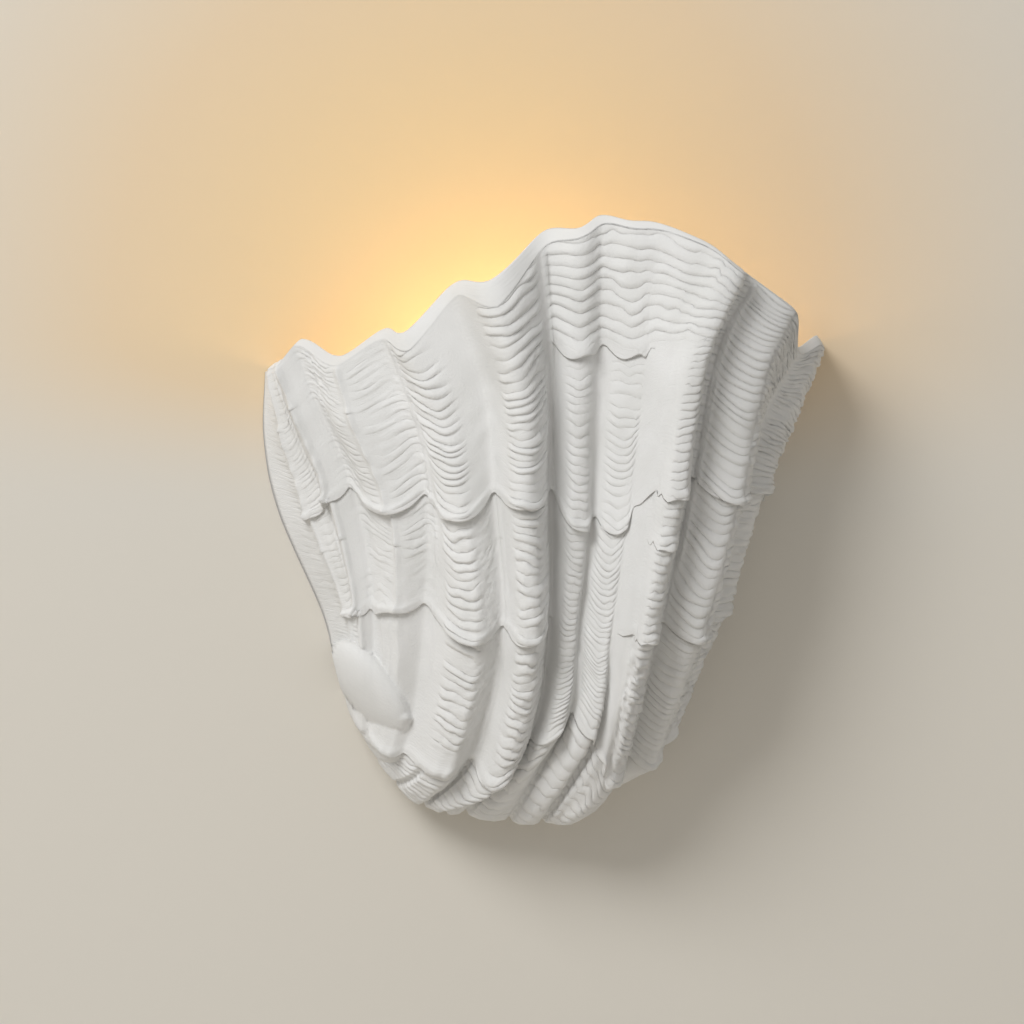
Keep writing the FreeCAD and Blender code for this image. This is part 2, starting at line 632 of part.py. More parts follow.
def bracket_screws():
    seat = PLATE_T + BRACKET_T
    return Part.makeCompound([
        pan_screw(s * BRACKET_SCREW_X, BRACKET_SCREW_Z, seat, M4, M4_HEAD_D, M4_HEAD_T, M4_LENGTH)
        for s in (-1, 1)])


def nipple():
    z0 = BRACKET_FLOOR - WASHER_T - NUT_T - NIPPLE_PAST_NUT
    return ring(NIPPLE_D, NIPPLE_BORE, z0, HOLDER_Z + HOLDER_FLOOR + NIPPLE_IN_CAP)


def lock_washer():
    return ring(WASHER_D, NIPPLE_D, BRACKET_FLOOR - WASHER_T, BRACKET_FLOOR)


def nipple_nut():
    z0 = BRACKET_FLOOR - WASHER_T - NUT_T
    return hexagon(NUT_AF, z0, NUT_T).cut(rod(NIPPLE_D, V(0, LAMP_Y, z0), UP, NUT_T))


def lampholder_cap():
    r, top, ledge = HOLDER_D / 2.0, SLEEVE_Z, INSULATOR_Z
    floor = HOLDER_Z + HOLDER_FLOOR
    return turned([
        (NIPPLE_D / 2.0, HOLDER_Z), (r - 3.0, HOLDER_Z), (r, HOLDER_Z + 3.0), (r, top),
        (INSULATOR_D / 2.0, top), (INSULATOR_D / 2.0, ledge),
        (TERMINAL_ROOM_D / 2.0, ledge), (TERMINAL_ROOM_D / 2.0, floor),
        (NIPPLE_D / 2.0, floor)])


def lampholder_insulator():
    return rod(INSULATOR_D, V(0, LAMP_Y, INSULATOR_Z), UP, INSULATOR_T)


def lampholder_sleeve():
    r, z0, z1 = HOLDER_D / 2.0, SLEEVE_Z, SLEEVE_Z + SLEEVE_H
    mouth = z1 - SLEEVE_MOUTH_H
    return turned([
        (SCREW_SHELL_D / 2.0, z0), (r, z0), (r, z0 + SLEEVE_H / 3.0), (r - SLEEVE_RIB, z0 + SLEEVE_H / 3.0),
        (r - SLEEVE_RIB, z1 - SLEEVE_RIB), (r - 2 * SLEEVE_RIB, z1), (SLEEVE_MOUTH_D / 2.0, z1),
        (SLEEVE_MOUTH_D / 2.0, mouth), (SCREW_SHELL_D / 2.0, mouth)])


def lampholder_screw_shell():
    r, t, z0 = SCREW_SHELL_D / 2.0, SCREW_SHELL_T, SLEEVE_Z
    return turned([
        (SCREW_SHELL_EYE / 2.0, z0), (r, z0), (r, z0 + SCREW_SHELL_H), (r - t, z0 + SCREW_SHELL_H),
        (r - t, z0 + t), (SCREW_SHELL_EYE / 2.0, z0 + t)])


def centre_contact():
    """A strip on the insulator with a tongue bent up towards the bulb's tip."""
    half, t, top = CONTACT_L / 2.0, CONTACT_T, CONTACT_RISE
    outline = [(-half, 0), (half, 0), (half, t), (1.8 * t - half, t), (half / 3.0, top - t),
               (half / 1.5, top - t), (half / 1.5, top), (half / 3.0 - t / 2.0, top), (-half, 1.2 * t)]
    points = [V(x, LAMP_Y - CONTACT_W / 2.0, SLEEVE_Z + z) for x, z in outline]
    return Part.Face(Part.makePolygon(points + points[:1])).extrude(V(0, CONTACT_W, 0))


def holder_terminals():
    blocks = []
    for s in (-1, 1):
        x = s * TERMINAL_X
        blocks.append(box(x - TERMINAL_W / 2.0, x + TERMINAL_W / 2.0, LAMP_Y - TERMINAL_L / 2.0,
                          LAMP_Y + TERMINAL_L / 2.0, TERMINAL_Z, INSULATOR_Z))
    return Part.makeCompound(blocks)


# ---------------------------------------------------------------- bulb
def bulb_tip():
    return rod(TIP_D, V(0, LAMP_Y, BULB_Z), UP, TIP_T)


def bulb_insulator():
    seat = BULB_CAP_D / 2.0 - BULB_CAP_T
    hole = TIP_D / 2.0 + TIP_FIT
    roof = BULB_Z + TIP_T + TIP_FIT
    return turned([
        (hole, SKIRT_Z), (BULB_SKIRT_FOOT_D / 2.0, SKIRT_Z), (seat, BULB_CAP_Z),
        (seat, BULB_CAP_Z + BULB_SKIRT_H),
        (0, BULB_CAP_Z + BULB_SKIRT_H), (0, roof), (hole, roof)])


def bulb_cap():
    return ring(BULB_CAP_D, BULB_CAP_D - 2 * BULB_CAP_T, BULB_CAP_Z, COLLAR_Z)


def bulb_collar():
    """The lamp's housing: a spigot in the screw cap and a flared cup under the globe."""
    seat = BULB_CAP_D / 2.0 - BULB_CAP_T
    foot_r, widening = COLLAR_FOOT_D / 2.0, (COLLAR_TOP_D - COLLAR_FOOT_D) / 2.0
    spigot_z = COLLAR_Z - COLLAR_SPIGOT_H
    flare = [(foot_r + widening * t ** COLLAR_FLARE, COLLAR_Z + COLLAR_H * t) for t in between(0.0, 1.0, 6)]
    return turned([(0, spigot_z), (seat, spigot_z), (seat, COLLAR_Z)] + flare + [(0, GLOBE_Z)])


def globe_line(radius, count):
    """Short cords of a circle about the globe's centre, from its mouth up to the lamp's axis."""
    mouth = math.asin((GLOBE_Z - GLOBE_CENTRE_Z) / radius)
    angles = between(mouth, math.pi / 2.0, count)
    return [(radius * math.cos(a), GLOBE_CENTRE_Z + radius * math.sin(a)) for a in angles[:-1]]


def bulb_globe():
    outer, inner = GLOBE_D / 2.0, GLOBE_D / 2.0 - GLOBE_WALL
    tops = [(0, GLOBE_CENTRE_Z + outer), (0, GLOBE_CENTRE_Z + inner)]
    return turned(globe_line(outer, 13) + tops + globe_line(inner, 9)[::-1])


def led_board():
    board = rod(LED_BOARD_D, V(0, LAMP_Y, GLOBE_Z), UP, LED_BOARD_T)
    chips = []
    for i in range(LED_COUNT):
        a = 2 * math.pi * i / LED_COUNT
        x, y = LED_RING_D / 2.0 * math.cos(a), LAMP_Y + LED_RING_D / 2.0 * math.sin(a)
        z, half = GLOBE_Z + LED_BOARD_T, LED_SIZE / 2.0
        chips.append(box(x - half, x + half, y - half, y + half, z, z + LED_T))
    return board.fuse(chips)


# ---------------------------------------------------------------- wiring
def block_screw_places():
    return [BLOCK_X + s * POLE_PITCH / 2.0 for s in (-1, 1)]


def pole_screw_places():
    return [(x, z) for x in POLES for z in (BLOCK_TOP - POLE_SCREW_IN, BLOCK_FOOT + POLE_SCREW_IN)]


def terminal_block():
    front = PLATE_T + BLOCK_D
    block = box(BLOCK_X - BLOCK_W / 2.0, BLOCK_X + BLOCK_W / 2.0, -front, -PLATE_T, BLOCK_FOOT, BLOCK_TOP)
    cuts = []
    for x in block_screw_places():
        cuts.append(box(x - BLOCK_GROOVE / 2.0, x + BLOCK_GROOVE / 2.0, -front, -front + BLOCK_D / 3.0,
                        BLOCK_FOOT, BLOCK_TOP))
        middle = BLOCK_TOP - BLOCK_H / 2.0
        cuts.append(through_hole(M3, x, middle, front))
        cuts.append(rod(M3_HEAD_D + 2 * KEY_FIT, V(x, -front + BLOCK_D / 3.0, middle), OUT, BLOCK_D / 3.0))
    for x, z in pole_screw_places():
        cuts.append(rod(POLE_SCREW_D, V(x, -front, z), OUT * -1, POLE_SCREW_L + POLE_SCREW_SUNK))
    return block.cut(cuts)


def block_screws():
    seat, middle = PLATE_T + BLOCK_D * 2.0 / 3.0, BLOCK_TOP - BLOCK_H / 2.0
    return Part.makeCompound([
        pan_screw(x, middle, seat, M3, M3_HEAD_D, M3_HEAD_T, seat) for x in block_screw_places()])


def terminal_screws():
    top = PLATE_T + BLOCK_D - POLE_SCREW_SUNK
    return Part.makeCompound([
        rod(POLE_SCREW_D, V(x, -top, z), OUT * -1, POLE_SCREW_L) for x, z in pole_screw_places()])


def earth_eyelet():
    disc = rod(EYELET_D, V(EARTH_X, -PLATE_T, EARTH_Z), OUT, EYELET_T)
    over_disc = (EYELET_D - M4_HEAD_D) / 2.0 - EYELET_CLEAR
    barrel = rod(EYELET_BARREL_D, V(EARTH_X, EYELET_Y, EYELET_FOOT), UP, EYELET_BARREL_L + over_disc)
    return disc.fuse(barrel).cut(through_hole(M4, EARTH_X, EARTH_Z, PLATE_T + EYELET_T))


def earth_screw():
    return pan_screw(EARTH_X, EARTH_Z, PLATE_T + EYELET_T, M4, M4_HEAD_D, M4_HEAD_T, PLATE_T + EYELET_T)


def earth_lead():
    x, y = POLES[0], -LEAD_DEPTH
    return lead("earth_lead", [
        (x, y, BLOCK_FOOT), (x - 1, y + 0.5, BLOCK_FOOT - 13), (15, -8.5, -55), (-1, -7.5, -60),
        (-18, -6.5, -61), (-32, -5.5, -58),
        (EARTH_X, EYELET_Y, EYELET_FOOT - 9), (EARTH_X, EYELET_Y, EYELET_FOOT)])


def neutral_lead():
    x, y = POLES[1], -LEAD_DEPTH
    return lead("neutral_lead", [
        (x, y, BLOCK_FOOT), (x - 1, y - 1, BLOCK_FOOT - 13), (27, -15, -58), (12, -20, -68), (-4, -29, -73),
        (-7, -40, -68), (-TERMINAL_X, LAMP_Y, -58), (-TERMINAL_X, LAMP_Y, TERMINAL_Z)])


def live_lead():
    x, y = POLES[2], -LEAD_DEPTH
    return lead("live_lead", [
        (x, y, BLOCK_FOOT), (x, y - 1, BLOCK_FOOT - 15), (38, -19, -60), (23, -31, -68), (8, -41, -69),
        (TERMINAL_X, LAMP_Y, -58), (TERMINAL_X, LAMP_Y, TERMINAL_Z)])


PIECES = (
    plaster_shell, threaded_inserts, hanging_strap, strap_screws,
    wall_plate, hanging_studs, cable_grommet,
    holder_bracket, bracket_screws, nipple, lock_washer, nipple_nut,
    lampholder_cap, lampholder_insulator, holder_terminals,
    lampholder_sleeve, lampholder_screw_shell, centre_contact,
    bulb_tip, bulb_insulator, bulb_cap, bulb_collar, led_board, bulb_globe,
    terminal_block, block_screws, terminal_screws, earth_eyelet, earth_screw,
    earth_lead, neutral_lead, live_lead,
)

os.makedirs("parts", exist_ok=True)
for piece in PIECES:
    save(piece.__name__, piece())
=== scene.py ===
# %% [markdown]
# # A plaster shell that lights a wall
# The object is a wall light. A plaster cast of a fluted clam shell hangs in front of a steel plate, and
# one round opal bulb stands behind it, so that the light leaves over the shell's rim and washes the wall.
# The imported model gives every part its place. This notebook dresses it: first the picture's frame and
# light, then the shell, the lamp and the small metal parts, then every finish.

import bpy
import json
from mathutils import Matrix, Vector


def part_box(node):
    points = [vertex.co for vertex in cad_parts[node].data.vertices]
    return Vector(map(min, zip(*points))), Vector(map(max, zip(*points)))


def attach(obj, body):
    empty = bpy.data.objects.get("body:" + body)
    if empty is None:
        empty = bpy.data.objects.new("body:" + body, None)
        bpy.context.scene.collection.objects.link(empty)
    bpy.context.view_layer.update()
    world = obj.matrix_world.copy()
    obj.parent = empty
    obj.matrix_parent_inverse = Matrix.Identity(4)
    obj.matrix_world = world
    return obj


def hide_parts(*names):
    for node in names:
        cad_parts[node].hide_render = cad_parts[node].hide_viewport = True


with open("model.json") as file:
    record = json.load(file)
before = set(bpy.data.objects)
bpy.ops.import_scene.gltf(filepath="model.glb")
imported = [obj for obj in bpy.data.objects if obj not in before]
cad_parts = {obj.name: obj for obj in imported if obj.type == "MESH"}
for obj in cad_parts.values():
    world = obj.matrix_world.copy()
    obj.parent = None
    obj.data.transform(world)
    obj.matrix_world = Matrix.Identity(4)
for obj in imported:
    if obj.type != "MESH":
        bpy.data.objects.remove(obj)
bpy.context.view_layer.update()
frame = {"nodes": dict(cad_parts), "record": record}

import json
import math

import bmesh
import bpy
import numpy as np
from mathutils import Vector

MM = 0.001
cad = frame["nodes"]

# %% [markdown]
# ## The camera
# The shell was photographed level and square to the wall, through a long lens: parallel edges stay
# parallel and nothing near looks big. A short lens close by would swell the middle folds, so the camera
# stands far back and its focal length is worked out from what one pixel covers on the object.

# %% Camera
PIXEL = 0.6 * MM            # what one pixel of the photograph covers at the middle of the shell
PHOTO_SIZE = 1024           # pixels across and up
ORIGIN_PIXEL = (520, 510)   # where the photograph shows the model's origin
CAMERA_AWAY = 8.0
MIDDLE_DEPTH = 60 * MM      # half way from the wall to the front of the shell

camera = bpy.data.objects.new("camera", bpy.data.cameras.new("camera"))
bpy.context.scene.collection.objects.link(camera)
off_centre = [(PHOTO_SIZE / 2 - pixel) * PIXEL for pixel in ORIGIN_PIXEL]
camera.location = (off_centre[0], -MIDDLE_DEPTH - CAMERA_AWAY, -off_centre[1])
camera.rotation_euler = (math.pi / 2, 0, 0)
camera.data.lens = camera.data.sensor_width * CAMERA_AWAY / (PHOTO_SIZE * PIXEL)
bpy.context.scene.camera = camera
bpy.context.scene.view_settings.view_transform = "Standard"
print("lens", round(camera.data.lens), "mm, camera", round(CAMERA_AWAY, 1), "m away")

# %% [markdown]
# ## Nodes in one line each
# Every finish below is a small graph of shader nodes. Colours are written as they look on a screen and
# turned to linear light by one function, because shaders mix light and not screen values.

# %% Helpers for finishes
def linear(screen):
    """Linear light for a colour written as #RRGGBB."""
    parts = [int(screen[i:i + 2], 16) / 255 for i in (1, 3, 5)]
    return [p / 12.92 if p <= 0.04045 else ((p + 0.055) / 1.055) ** 2.4 for p in parts] + [1.0]


def add(tree, kind, settings=None, links=None):
    """Adds a node. Names of its own settings are set on it, other names or numbers are its sockets, and
    links feed those."""
    made = tree.nodes.new("ShaderNode" + kind)
    for name, value in (settings or {}).items():
        if isinstance(name, str) and hasattr(made, name):
            setattr(made, name, value)
        else:
            made.inputs[name].default_value = value
    for name, source in (links or {}).items():
        tree.links.new(source, made.inputs[name])
    return made


def ramp(tree, source, *stops):
    """Turns a grey value into a colour through (place, #RRGGBB) stops."""
    made = add(tree, "ValToRGB", links={"Fac": source})
    elements = made.color_ramp.elements
    while len(elements) < len(stops):
        elements.new(0.5)
    for element, (place, colour) in zip(elements, stops):
        element.position = place
        element.color = linear(colour)
    return made.outputs["Color"]


def between(tree, source, low, high):
    """Turns a value from 0 to 1 into one from low to high."""
    return add(tree, "MapRange", {"To Min": low, "To Max": high}, {"Value": source}).outputs["Result"]


def blank(name, **sockets):
    """A material with one Principled shader and the constants given, such as Metallic=1."""
    made = bpy.data.materials.new(name)
    made.use_nodes = True
    shader = made.node_tree.nodes["Principled BSDF"]
    for socket, value in sockets.items():
        shader.inputs[socket.replace("_", " ")].default_value = value
    return made, made.node_tree, shader


print("one colour function, one node function")

# %% [markdown]
# ## The wall, the floor and the room's light
# The wall is painted plaster in a warm beige. Behind and above the rim it is washed by the lamp, and that
# wash looks amber, so the paint's colour is made to run to amber towards the lamp: painted lamp light, on
# top of which the lamp's own light does the rest. Seen from behind, the wall lets the view through: its back
# face is transparent, so the plate and the strap can be looked at, and light that leaves a face which all but
# touches the wall passes through it, or every back face would be black in such a view.

# %% Wall and floor
WALL_GAP = 0.5 * MM
TOUCHING = 4 * MM           # how near the wall a face lies when its light passes through
WALL_SIZE = 5.0
FLOOR_Z = -1.1
GLOW_PAINT_FROM = Vector((-0.03, 0, 0.13))
GLOW_PAINT_REACH = 0.43
GLOW_PAINT_RISE = 0.11           # the amber comes in over this much height, from the model's origin up


def stage_plane(name, corners):
    """One flat face through four corners, which belongs to the picture and not to the object."""
    mesh = bpy.data.meshes.new(name)
    work = bmesh.new()
    work.faces.new([work.verts.new(corner) for corner in corners])
    work.to_mesh(mesh)
    plane = bpy.data.objects.new(name, mesh)
    bpy.context.scene.collection.objects.link(plane)
    return plane


half = WALL_SIZE / 2
wall = stage_plane("wall", [(-half, WALL_GAP, FLOOR_Z), (half, WALL_GAP, FLOOR_Z),
                            (half, WALL_GAP, half), (-half, WALL_GAP, half)])
floor = stage_plane("floor", [(-half, WALL_GAP, FLOOR_Z), (-half, -WALL_SIZE, FLOOR_Z),
                              (half, -WALL_SIZE, FLOOR_Z), (half, WALL_GAP, FLOOR_Z)])
print("wall", WALL_SIZE, "m wide, floor", FLOOR_Z, "m down")

# %% Wall paint
def wall_paint():
    """Rolled emulsion paint: matt, with a fine stipple and an amber pool of painted lamp light near the lamp,
    and open to views from behind.
    """
    made, tree, shader = blank("beige_wall_paint", Roughness=0.85)
    place = add(tree, "TexCoord").outputs["Object"]
    # Painted lamp light: this mask paints a pool of the lamp's warm glow into the paint's colour, strongest
    # near the lamp and fading out towards and below the model's origin.
    away = add(tree, "VectorMath", {"operation": "DISTANCE", 1: GLOW_PAINT_FROM}, {0: place}).outputs["Value"]
    soft = {"interpolation_type": "SMOOTHSTEP"}
    near = add(tree, "MapRange", {**soft, "From Min": GLOW_PAINT_REACH, "From Max": 0.0},
               {"Value": away}).outputs["Result"]
    up = add(tree, "SeparateXYZ", links={"Vector": place}).outputs["Z"]
    above = add(tree, "MapRange", {**soft, "From Min": 0.0, "From Max": GLOW_PAINT_RISE},
                {"Value": up}).outputs["Result"]
    painted_glow = add(tree, "Math", {"operation": "MULTIPLY"}, {0: near, 1: above}).outputs["Value"]
    # Plain beige paint where the mask is 0; the two amber stops are painted lamp light.
    colour = ramp(tree, painted_glow, (0.0, "#D7D2C8"), (0.5, "#E2CCAC"), (1.0, "#EBCF9E"))
    tree.links.new(colour, shader.inputs["Base Color"])
    roller = add(tree, "TexNoise", {"Scale": 1 / (3 * MM), "Detail": 3.0}, {"Vector": place})
    bump = add(tree, "Bump", {"Strength": 0.08, "Distance": 0.3 * MM}, {"Height": roller.outputs["Fac"]})
    tree.links.new(bump.outputs["Normal"], shader.inputs["Normal"])
    clear = add(tree, "BsdfTransparent")
    behind = add(tree, "NewGeometry").outputs["Backfacing"]
    length = add(tree, "LightPath").outputs["Ray Length"]
    touching = add(tree, "Math", {"operation": "LESS_THAN", 1: TOUCHING}, {0: length}).outputs["Value"]
    open_here = add(tree, "Math", {"operation": "MAXIMUM"}, {0: behind, 1: touching}).outputs["Value"]
    seen = add(tree, "MixShader", links={0: open_here, 1: shader.outputs["BSDF"], 2: clear.outputs["BSDF"]})
    tree.links.new(seen.outputs["Shader"], tree.nodes["Material Output"].inputs["Surface"])
    return made


def floor_paint():
    """A pale matt floor, far below the shell, with faint clouds."""
    made, tree, shader = blank("pale_floor", Roughness=0.8)
    place = add(tree, "TexCoord").outputs["Object"]
    cloud = add(tree, "TexNoise", {"Scale": 4.0, "Detail": 4.0}, {"Vector": place})
    colour = ramp(tree, cloud.outputs["Fac"], (0.3, "#DAD5CD"), (0.7, "#E1DCD5"))
    tree.links.new(colour, shader.inputs["Base Color"])
    return made


wall.data.materials.append(wall_paint())
floor.data.materials.append(floor_paint())
print("wall and floor painted")

# %% [markdown]
# ## Studio light
# One wide soft lamp stands up and to the left in front, as the shadow to the lower right of the shell
# shows, and the room's pale surroundings fill the furrows. Both are kept plain and neutral, so a colour
# looks about as it is written.

# %% Lamps and world
KEY_PLACE = Vector((-1.6, -2.2, 2.0))
KEY_AIM = Vector((0.0, 0.0, -0.02))
KEY_SIZE = 1.9
KEY_WATTS = 75.0
FILL = 0.4

key = bpy.data.objects.new("key", bpy.data.lights.new("key", "AREA"))
key.data.shape = "DISK"
key.data.size = KEY_SIZE
key.data.energy = KEY_WATTS
key.location = KEY_PLACE
key.rotation_euler = (KEY_AIM - KEY_PLACE).to_track_quat("-Z", "Y").to_euler()
bpy.context.scene.collection.objects.link(key)

world = bpy.data.worlds.new("room")
bpy.context.scene.world = world
world.use_nodes = True
sky = world.node_tree
ray = add(sky, "LightPath")
seen_ray = add(sky, "Math", {"operation": "MAXIMUM"},
               {0: ray.outputs["Is Camera Ray"], 1: ray.outputs["Is Glossy Ray"]}).outputs["Value"]
seen_ray = add(sky, "Math", {"operation": "MAXIMUM"},
               {0: seen_ray, 1: ray.outputs["Is Transmission Ray"]}).outputs["Value"]
fill = add(sky, "Background", {"Color": linear("#FFFEFC"), "Strength": FILL})
shown = add(sky, "Background", {"Color": linear("#E6E2DC"), "Strength": 1.0})
chosen = add(sky, "MixShader",
             links={0: seen_ray, 1: fill.outputs["Background"], 2: shown.outputs["Background"]})
sky.links.new(chosen.outputs["Shader"], sky.nodes["World Output"].inputs["Surface"])
print("key", KEY_WATTS, "W, fill", FILL)

# %% [markdown]
# ## The shell's form
# The real shell grew in tiers, and each fold runs from the beak at the lower left up to the rim. A scan
# or a sculpt would hold it as a million loose points. Here it is a rule instead: thirteen crest lines,
# each with seven points, a furrow between every two, and a number that runs from the wall up to the rim.
# Every later detail is placed by those two numbers: how far across, counted in crests, and how far along.

# %% Crests and furrows
WALL_THICKNESS = 6.5        # millimetres, as everything in the shell's own rules
AXIS_X = 6.0                # the folds sink towards this upright axis on the wall
AXIS_LOW_Z = -90.0
STATIONS = (0.0, 40.0, 82.0, 172.0, 247.0, 325.0, 388.0)    # along a crest, from the wall to the rim
LOW_EDGE, MIDDLE_EDGE, HIGH_EDGE, RIM = 82.0, 172.0, 247.0, 388.0
CRESTS = (                  # a row for each crest, from the left: x, depth, z at each station
    ((-105, 0, -114), (-108, 0, -108), (-112, 0, -93), (-120, 0, -61),
     (-146, 0, -1), (-155, 0, 44), (-154, 0, 86)),
    ((-104, 0, -117), (-106, 7, -112), (-105, 14, -104), (-103, 24, -64),
     (-125, 20, -5), (-142, 18, 40), (-153, 15, 89)),
    ((-101, 0, -122), (-101, 13, -127), (-96, 27, -130), (-96, 41, -64),
     (-112, 37, 5), (-134, 33, 54), (-148, 28, 91)),
    ((-87, 0, -144), (-87, 19, -148), (-76, 38, -145), (-72, 58, -62),
     (-76, 60, -2), (-100, 56, 51), (-112, 48, 93)),
    ((-70, 0, -166), (-63, 26, -174), (-45, 55, -157), (-28, 84, -80),
     (-35, 88, -7), (-46, 83, 52), (-73, 74, 107)),
    ((-48, 0, -176), (-45, 31, -181), (-12, 62, -165), (7, 98, -82),
     (4, 106, 0), (1, 108, 66), (-18, 106, 138)),
    ((-23, 0, -178), (-18, 36, -184), (18, 74, -137), (29, 82, -78),
     (34, 89, -13), (36, 92, 78), (38, 92, 169)),
    ((0, 0, -180), (6, 40, -187), (41, 82, -136), (49, 91, -78),
     (58, 95, -14), (67, 96, 78), (70, 97, 173)),
    ((14, 0, -180), (20, 41, -186), (48, 75, -150), (65, 103, -73),
     (77, 110, 12), (89, 112, 87), (111, 108, 162)),
    ((27, 0, -179), (33, 41, -187), (55, 64, -164), (75, 108, -80),
     (92, 122, 6), (108, 124, 87), (135, 115, 145)),
    ((64, 0, -163), (75, 27, -158), (78, 42, -153), (106, 88, -80),
     (129, 98, 2), (147, 98, 84), (167, 92, 122)),
    ((76, 0, -153), (85, 13, -147), (90, 26, -134), (121, 44, -63),
     (145, 54, 11), (165, 52, 60), (184, 44, 105)),
    ((83, 0, -146), (87, 0, -139), (91, 0, -129), (118, 0, -61),
     (143, 0, 6), (162, 0, 55), (187, 0, 102)),
)
# Each furrow: its place between its crests at the lowest edge and at the rim, its depth and its rise
# at the lowest edge, at the highest edge and at the rim.
FURROWS = (
    ((0.5, 0.5), (0, 1, 1), (0, 0, 0)), ((0.5, 0.5), (0, 4, 3), (0, 2, 0)),
    ((0.15, 0.12), (2, 8, 8), (0, 9, 12)), ((0.2, 0.47), (3, 9, 9), (2, 14, 11)),
    ((0.42, 0.38), (7, 13, 15), (10, 15, 17)), ((0.55, 0.56), (8, 18, 18), (8, 19, 9)),
    ((0.58, 0.46), (8, 8, 6), (10, 13, 3)), ((0.6, 0.43), (5, 3, 3), (5, 2, 2)),
    ((0.5, 0.5), (0, 0, 0), (0, 0, 0)), ((0.6, 0.5), (8, 17, 16), (8, 16, 9)),
    ((0.55, 0.5), (3, 9, 8), (0, 6, -14)), ((0.5, 0.5), (0, 0, 0), (0, 0, 0)),
)
FOLD_ROUNDNESS = 1.3        # above 1 the crests are broad and the furrows narrow
RIM_ROUNDNESS = 0.9         # the same at the rim, where the furrows open out
LAST = len(CRESTS) - 1
crest_rows = np.array(CRESTS, float).transpose(1, 0, 2)
furrow_places = np.array([f[0] for f in FURROWS], float)
furrow_sinks = np.array([(0.0,) + f[1] for f in FURROWS], float).T
furrow_rises = np.array([(0.0,) + f[2] for f in FURROWS], float).T
print(len(CRESTS), "crests,", len(FURROWS), "furrows")

# %% [markdown]
# A smooth curve through a few points is all the rule needs: the slope at a point is that of the line
# between its neighbours. The same curve runs along each crest, and then from crest to crest.

# %% Smooth curves
def through(xs, ys, x):
    """Values at x on smooth curves through ys at xs. ys may hold a whole table for each of xs."""
    xs, ys = np.asarray(xs, float), np.asarray(ys, float)
    spread = (-1,) + (1,) * (ys.ndim - 1)
    after = np.minimum(np.arange(len(xs)) + 1, len(xs) - 1)
    before = np.maximum(np.arange(len(xs)) - 1, 0)
    slopes = (ys[after] - ys[before]) / (xs[after] - xs[before]).reshape(spread)
    i = np.clip(np.searchsorted(xs, x) - 1, 0, len(xs) - 2)
    h = (xs[i + 1] - xs[i]).reshape(spread)
    t = (x - xs[i]).reshape(spread) / h
    return (ys[i] * (1 + 2 * t) * (1 - t) ** 2 + h * slopes[i] * t * (1 - t) ** 2
            + ys[i + 1] * t * t * (3 - 2 * t) + h * slopes[i + 1] * t * t * (t - 1))


def smooth(low, high, x):
    """Rises from 0 at low to 1 at high, with no corner at either end."""
    t = np.clip((x - low) / (high - low), 0, 1)
    return t * t * (3 - 2 * t)


print("half way up a smooth step:", smooth(0, 1, 0.5))

# %% Points of the skin
def skin(u, v, inset=0.0):
    """Points u crests across and v along, inset millimetres into the cast, with their direction outwards,
    their depth from the wall and how far down its furrow each lies (0 on a crest, 1 at the bottom)."""
    crests = through(STATIONS, crest_rows, v)
    k = np.clip(u.astype(int), 0, LAST - 1)
    row = np.arange(len(u))
    t = u - k
    left, right = crests[row, k], crests[row, k + 1]
    before, after = crests[row, np.maximum(k - 1, 0)], crests[row, np.minimum(k + 2, LAST)]
    left_slope = (right - before) / np.where(k > 0, 2.0, 1.0)[:, None]
    right_slope = (after - left) / np.where(k < LAST - 1, 2.0, 1.0)[:, None]
    s = t[:, None]
    point = (left * (1 + 2 * s) * (1 - s) ** 2 + left_slope * s * (1 - s) ** 2
             + right * s * s * (3 - 2 * s) + right_slope * s * s * (s - 1))
    climb = np.maximum(v - LOW_EDGE, 0) / (RIM - LOW_EDGE)
    bottom = furrow_places[k, 0] + (furrow_places[k, 1] - furrow_places[k, 0]) * climb
    near = np.where(t < bottom, t / bottom, (1 - t) / (1 - bottom))
    opening = np.maximum(v - HIGH_EDGE, 0) / (RIM - HIGH_EDGE)
    roundness = FOLD_ROUNDNESS + (RIM_ROUNDNESS - FOLD_ROUNDNESS) * opening
    fall = np.sin(near ** roundness * math.pi / 2) ** 2
    x, depth, z = point[:, 0], np.maximum(point[:, 1], 0), point[:, 2]
    out = np.stack([x - AXIS_X, depth, z - np.maximum(z, AXIS_LOW_Z)], axis=1)
    out /= np.linalg.norm(out, axis=1)[:, None]
    levels = (0.0, LOW_EDGE, HIGH_EDGE, RIM)
    start = smooth(0, LOW_EDGE, v)
    sink = through(levels, furrow_sinks, v)[row, k] * start
    rise = through(levels, furrow_rises, v)[row, k] * start
    move = -inset - fall * sink
    made = np.stack([x + out[:, 0] * move, -depth - out[:, 1] * move,
                     z + out[:, 2] * move + fall * rise], axis=1)
    return made, out * (1, -1, 1), depth, fall


def way_out(u, v):
    """Directions square to the skin, and the skin's width in millimetres for one crest across."""
    du, dv = 0.01, 0.6
    across = skin(np.minimum(u + du, LAST), v)[0] - skin(np.maximum(u - du, 0), v)[0]
    along = skin(u, np.minimum(v + dv, RIM))[0] - skin(u, np.maximum(v - dv, 0))[0]
    normal = np.cross(across, along)
    normal /= np.maximum(np.linalg.norm(normal, axis=1), 1e-9)[:, None]
    width = np.linalg.norm(across, axis=1) / (np.minimum(u + du, LAST) - np.maximum(u - du, 0))
    return normal, width


sample = skin(np.array([LAST - 3.0]), np.array([HIGH_EDGE]))[0][0]
print("fourth crest from the right at the highest growth edge:", sample.round(1), "mm")

# %% [markdown]
# ## Growth edges
# Each time the animal grew on, the new tier's lip flared over the old one like a skirt and left a dark
# gap beneath. Displacing a plain surface can't overhang, so the rows of the mesh are folded instead: they
# run up behind the skirt, come back down its underside and round its lip, and go on up the new tier.
# Three edges cross the shell, two short ones cross a few folds, and the middle one spares two folds.

